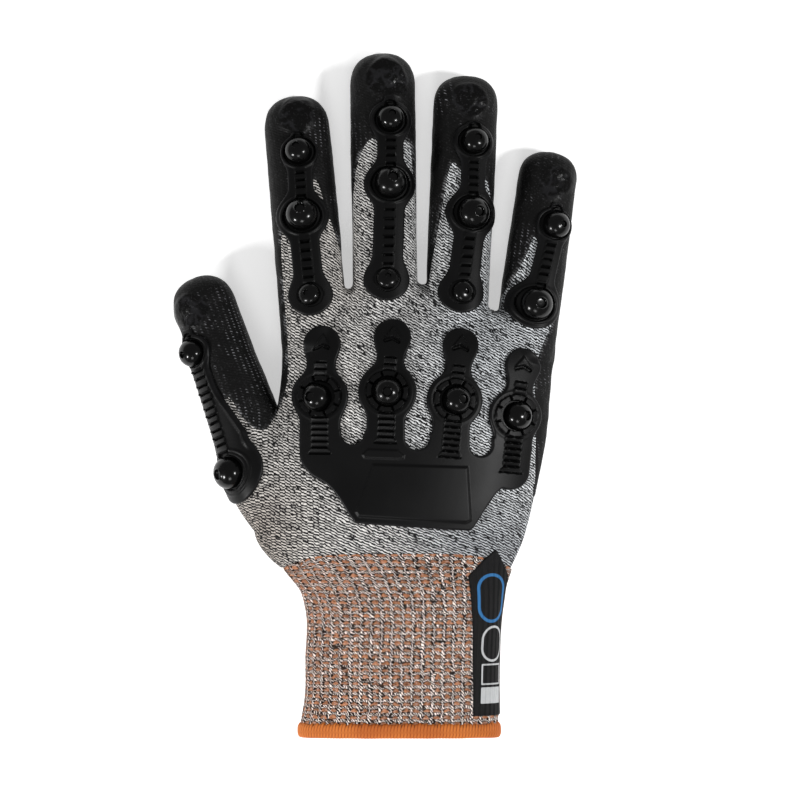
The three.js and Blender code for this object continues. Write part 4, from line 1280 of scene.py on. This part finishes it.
def cuff_section(y, offset, sides):
    """Points of the cuff's surface at rows of y, evenly spaced round it."""
    rings = []
    for level, ring in zip(y, np.stack(sections(CUFF_ROWS, y, offset, 720), -1)):
        closed = np.concatenate([ring, ring[:1]])
        length = np.concatenate([[0], np.cumsum(np.linalg.norm(np.diff(closed, axis=0), axis=1))])
        at = np.arange(sides) / sides * length[-1]
        ring_x, ring_z = (np.interp(at, length, column) for column in closed.T)
        rings.append(np.stack([ring_x, np.full(sides, level), ring_z], 1))
    return np.array(rings)


def tube(rings, y, points_per_rib):
    """Faces over rings of points, with the rib's column and row numbers at each point."""
    rows, sides, _ = rings.shape
    stitch = np.stack(np.broadcast_arrays(np.arange(sides) / points_per_rib, (y / RIB_ROW)[:, None]), -1)
    return Sheet(rings.reshape(-1, 3), grid_faces(rows, sides, closed=True), stitch=stitch.reshape(-1, 2))


def cuff():
    """The rib cuff: raised narrow columns, arches between them, and an inner wall."""
    sides = RIB_COLUMNS * POINTS_PER_RIB
    y = np.arange(CUFF_START, CUFF_END, CUFF_ROW_STEP)
    rings = cuff_section(y, CUFF_SURFACE, sides)
    level = y[:, None] - end_drop(rings[..., 0]) * eased(*CUFF_BEND, y)[:, None]
    for column in range(sides):
        for axis in (0, 2):
            rings[:, column, axis] = np.interp(level[:, column], y, rings[:, column, axis])
    rings[..., 1] = level
    across = np.arange(sides) / POINTS_PER_RIB % 1
    v = (y / RIB_ROW)[:, None]
    wale = 0.5 + 0.5 * np.cos(math.pi * np.minimum(np.minimum(across, 1 - across) / RIB.wale_half, 1))
    knot = 1 - RIB.knot + RIB.knot * np.sin(math.pi * (2 * v % 1))
    up, aside = ((v + RIB.arch_shift) % 1 - 0.5) / RIB.arch_half, (across - 0.5) / RIB.arch_half
    arch = np.exp(-up ** 2) * np.exp(-aside ** 2)
    tuck = eased(*CUFF_TUCK, y)[:, None]
    rise = (RIB.wale * wale * knot + RIB.arch * arch) * (1 - tuck) - RIB.tuck * tuck
    out = unit(np.cross(np.gradient(rings, axis=0), np.roll(rings, -1, 1) - np.roll(rings, 1, 1)))
    outer = tube(rings + rise[..., None] * out, y, POINTS_PER_RIB).flipped()
    wall_y = np.linspace(y[0], INNER_WALL.end, INNER_WALL.rows)
    wall = cuff_section(wall_y, -INNER_WALL.inward, RIB_COLUMNS * INNER_WALL.points_per_rib)
    return all_of([outer, tube(wall, wall_y, INNER_WALL.points_per_rib)])


def hem():
    """The hem: a soft roll of overlock yarn laid in slanting turns round the cuff's end."""
    turn = turns(HEM_STEPS)
    out, down = squared(turn, HEM.power, HEM.power)
    ring = cuff_section(np.array([(HEM.top + HEM.end) / 2]), 0.0, HEM_SIDES)[0]
    after = np.roll(ring, -1, 0)
    outward = unit(np.cross((0, 1, 0), unit(after - np.roll(ring, 1, 0))))
    count = round(np.linalg.norm(after - ring, axis=1).sum() / HEM.turn)
    number = np.arange(HEM_SIDES)[:, None] / HEM_SIDES * count + HEM.slant * turn / (2 * math.pi)
    ridge = HEM.ridge * (np.abs(np.sin(number * math.pi)) - 0.6)
    uneven = HEM.uneven * ripples(ring, 14, 31)[:, None]
    teeth = HEM.teeth * np.maximum(down, 0) * ripples(ring, 1.9, 33, 11)[:, None]
    half_wall, half_y = HEM.wall / 2, (HEM.top - HEM.end) / 2
    reach = (half_wall + ridge + 0.4 * uneven) * out + HEM.bulge - half_wall
    from_middle = (ring[:, :1] - ring[:, 0].mean()) / np.ptp(ring[:, 0]) * 2
    drop = (half_y + ridge + uneven * 0.3) * down + teeth + HEM.sag * (1 - from_middle ** 2)
    points = ring[:, None] + reach[..., None] * outward[:, None] + drop[..., None] * np.array([0, 1.0, 0])
    return Sheet(points.reshape(-1, 3), grid_faces(HEM_SIDES, HEM_STEPS, closed=True, looped=True),
                 turn=number.ravel(), top=np.broadcast_to(down, number.shape).ravel())


add_piece("rib_cuff", cuff(), ["rib"], ["knit_cuff"])
add_piece("overlocked_hem", hem(), ["hem"], ["cuff_hem"])


# The label on the cuff's side

LABEL_TURN = 57.0  # degrees from straight up towards +X
LABEL_OUTLINE = [(-4.2, -118.7), (11.9, -118.7), (9.5, -66.8), (2.5, -57.1), (-6.6, -66.8)]
LABEL_THICK = 0.55
LABEL_EDGE = (-0.3, 0.35)
LABEL_MARKS = [
    # across, y, half across, half along, corner, line's width or 0 for a filled one, print
    (1.6, -75.1, 5.9, 9.1, 5.8, 1.1, 1),
    (2.9, -92.0, 5.3, 6.7, 5.2, 0.85, 2),
    (3.0, -103.3, 4.9, 3.9, 0.3, 0.6, 2),
    (3.0, -111.1, 4.9, 3.0, 0.3, 0.0, 2),
]


def label_tree():
    """The surface that the label lies on: the cuff's crests and the hand's end."""
    y = np.arange(CUFF_START, CUFF_END, 1.0)
    return all_of([tube(cuff_section(y, CUFF_SURFACE + 0.5, 240), y, 1), skin]).tree()


def print_field(flat, number):
    field = np.full(len(flat), 9.0)
    for x, y, half_x, half_y, corner, width, print_number in LABEL_MARKS:
        if print_number == number:
            box = to_box(flat, (x, y), (half_x, half_y), corner)
            field = np.minimum(field, np.abs(box + width / 2) - width / 2 if width else box)
    return field


def label():
    s, c = math.sin(math.radians(LABEL_TURN)), math.cos(math.radians(LABEL_TURN))
    chart = Chart(label_tree(), (c, 0, -s), (0, 1, 0), (s, 0, c))

    def outline(flat):
        return to_outline(flat, LABEL_OUTLINE)

    def height(flat, inward):
        return LABEL_THICK * eased(*LABEL_EDGE, inward), np.zeros(len(flat))

    made = moulded(chart, (-9, -121), (15, -54), outline, height)
    for number in (1, 2):
        made.values["print"] = print_field(made.values["flat"], number)
        made = made.cut("print")
        made.tags[made.side("print")] = number
    return Sheet(made.points, made.faces, made.tags, stitch=made.values["flat"])


add_piece("woven_label", label(), ["label", "blue", "white"], ["cuff_label"], sharp=50)


# Floor, light and camera

FLOOR = Named(half=1.5, below=-0.0002, glow=0.5)
CAMERA = Named(place=(0.0095, -0.0019, 1.9), sensor=36, frame_width=0.2968, frame_level=0.02)
LAMPS = [
    # name, place, size, power
    ("left_softbox", (-0.79, -0.49, 0.58), 0.17, 8.2),
    ("right_softbox", (0.75, -0.08, 0.80), 0.15, 7.2),
    ("front_softbox", (0.0, -0.75, 0.80), 0.35, 2.4),
]
WORLD_LIGHT = 0.3


def studio():
    scene = bpy.context.scene
    mesh = bpy.data.meshes.new("floor")
    corners = [(x * FLOOR.half, y * FLOOR.half, 0) for x, y in ((-1, -1), (1, -1), (1, 1), (-1, 1))]
    mesh.from_pydata(corners, [], [(0, 1, 2, 3)])
    s = Surface("pale_floor")
    tone = s.mix(s.noise(3, 1), (0.90, 0.90, 0.90), (0.93, 0.93, 0.93))
    glow = {"Emission Color": (1, 1, 1), "Emission Strength": FLOOR.glow}
    mesh.materials.append(s.finish(tone, 0.8, 0.1, **glow))
    floor = placed("floor", mesh)
    floor.location.z = FLOOR.below

    world = scene.world = bpy.data.worlds.new("soft_light")
    world.use_nodes = True
    sky = world.node_tree.nodes["Background"].inputs
    sky["Color"].default_value = (1, 1, 1, 1)
    sky["Strength"].default_value = WORLD_LIGHT

    for name, place, size, power in LAMPS:
        light = bpy.data.lights.new(name, "AREA")
        light.size, light.energy, light.shape = size, power, "DISK"
        lamp = placed(name, light)
        lamp.location = place
        lamp.rotation_euler = (-Vector(place)).to_track_quat("-Z", "Y").to_euler()

    camera = bpy.data.cameras.new("camera")
    camera.sensor_width = CAMERA.sensor
    camera.lens = CAMERA.sensor * (CAMERA.place[2] - CAMERA.frame_level) / CAMERA.frame_width
    camera.clip_end = 20
    scene.camera = placed("camera", camera)
    scene.camera.location = CAMERA.place
    scene.view_settings.view_transform = "Standard"


studio()
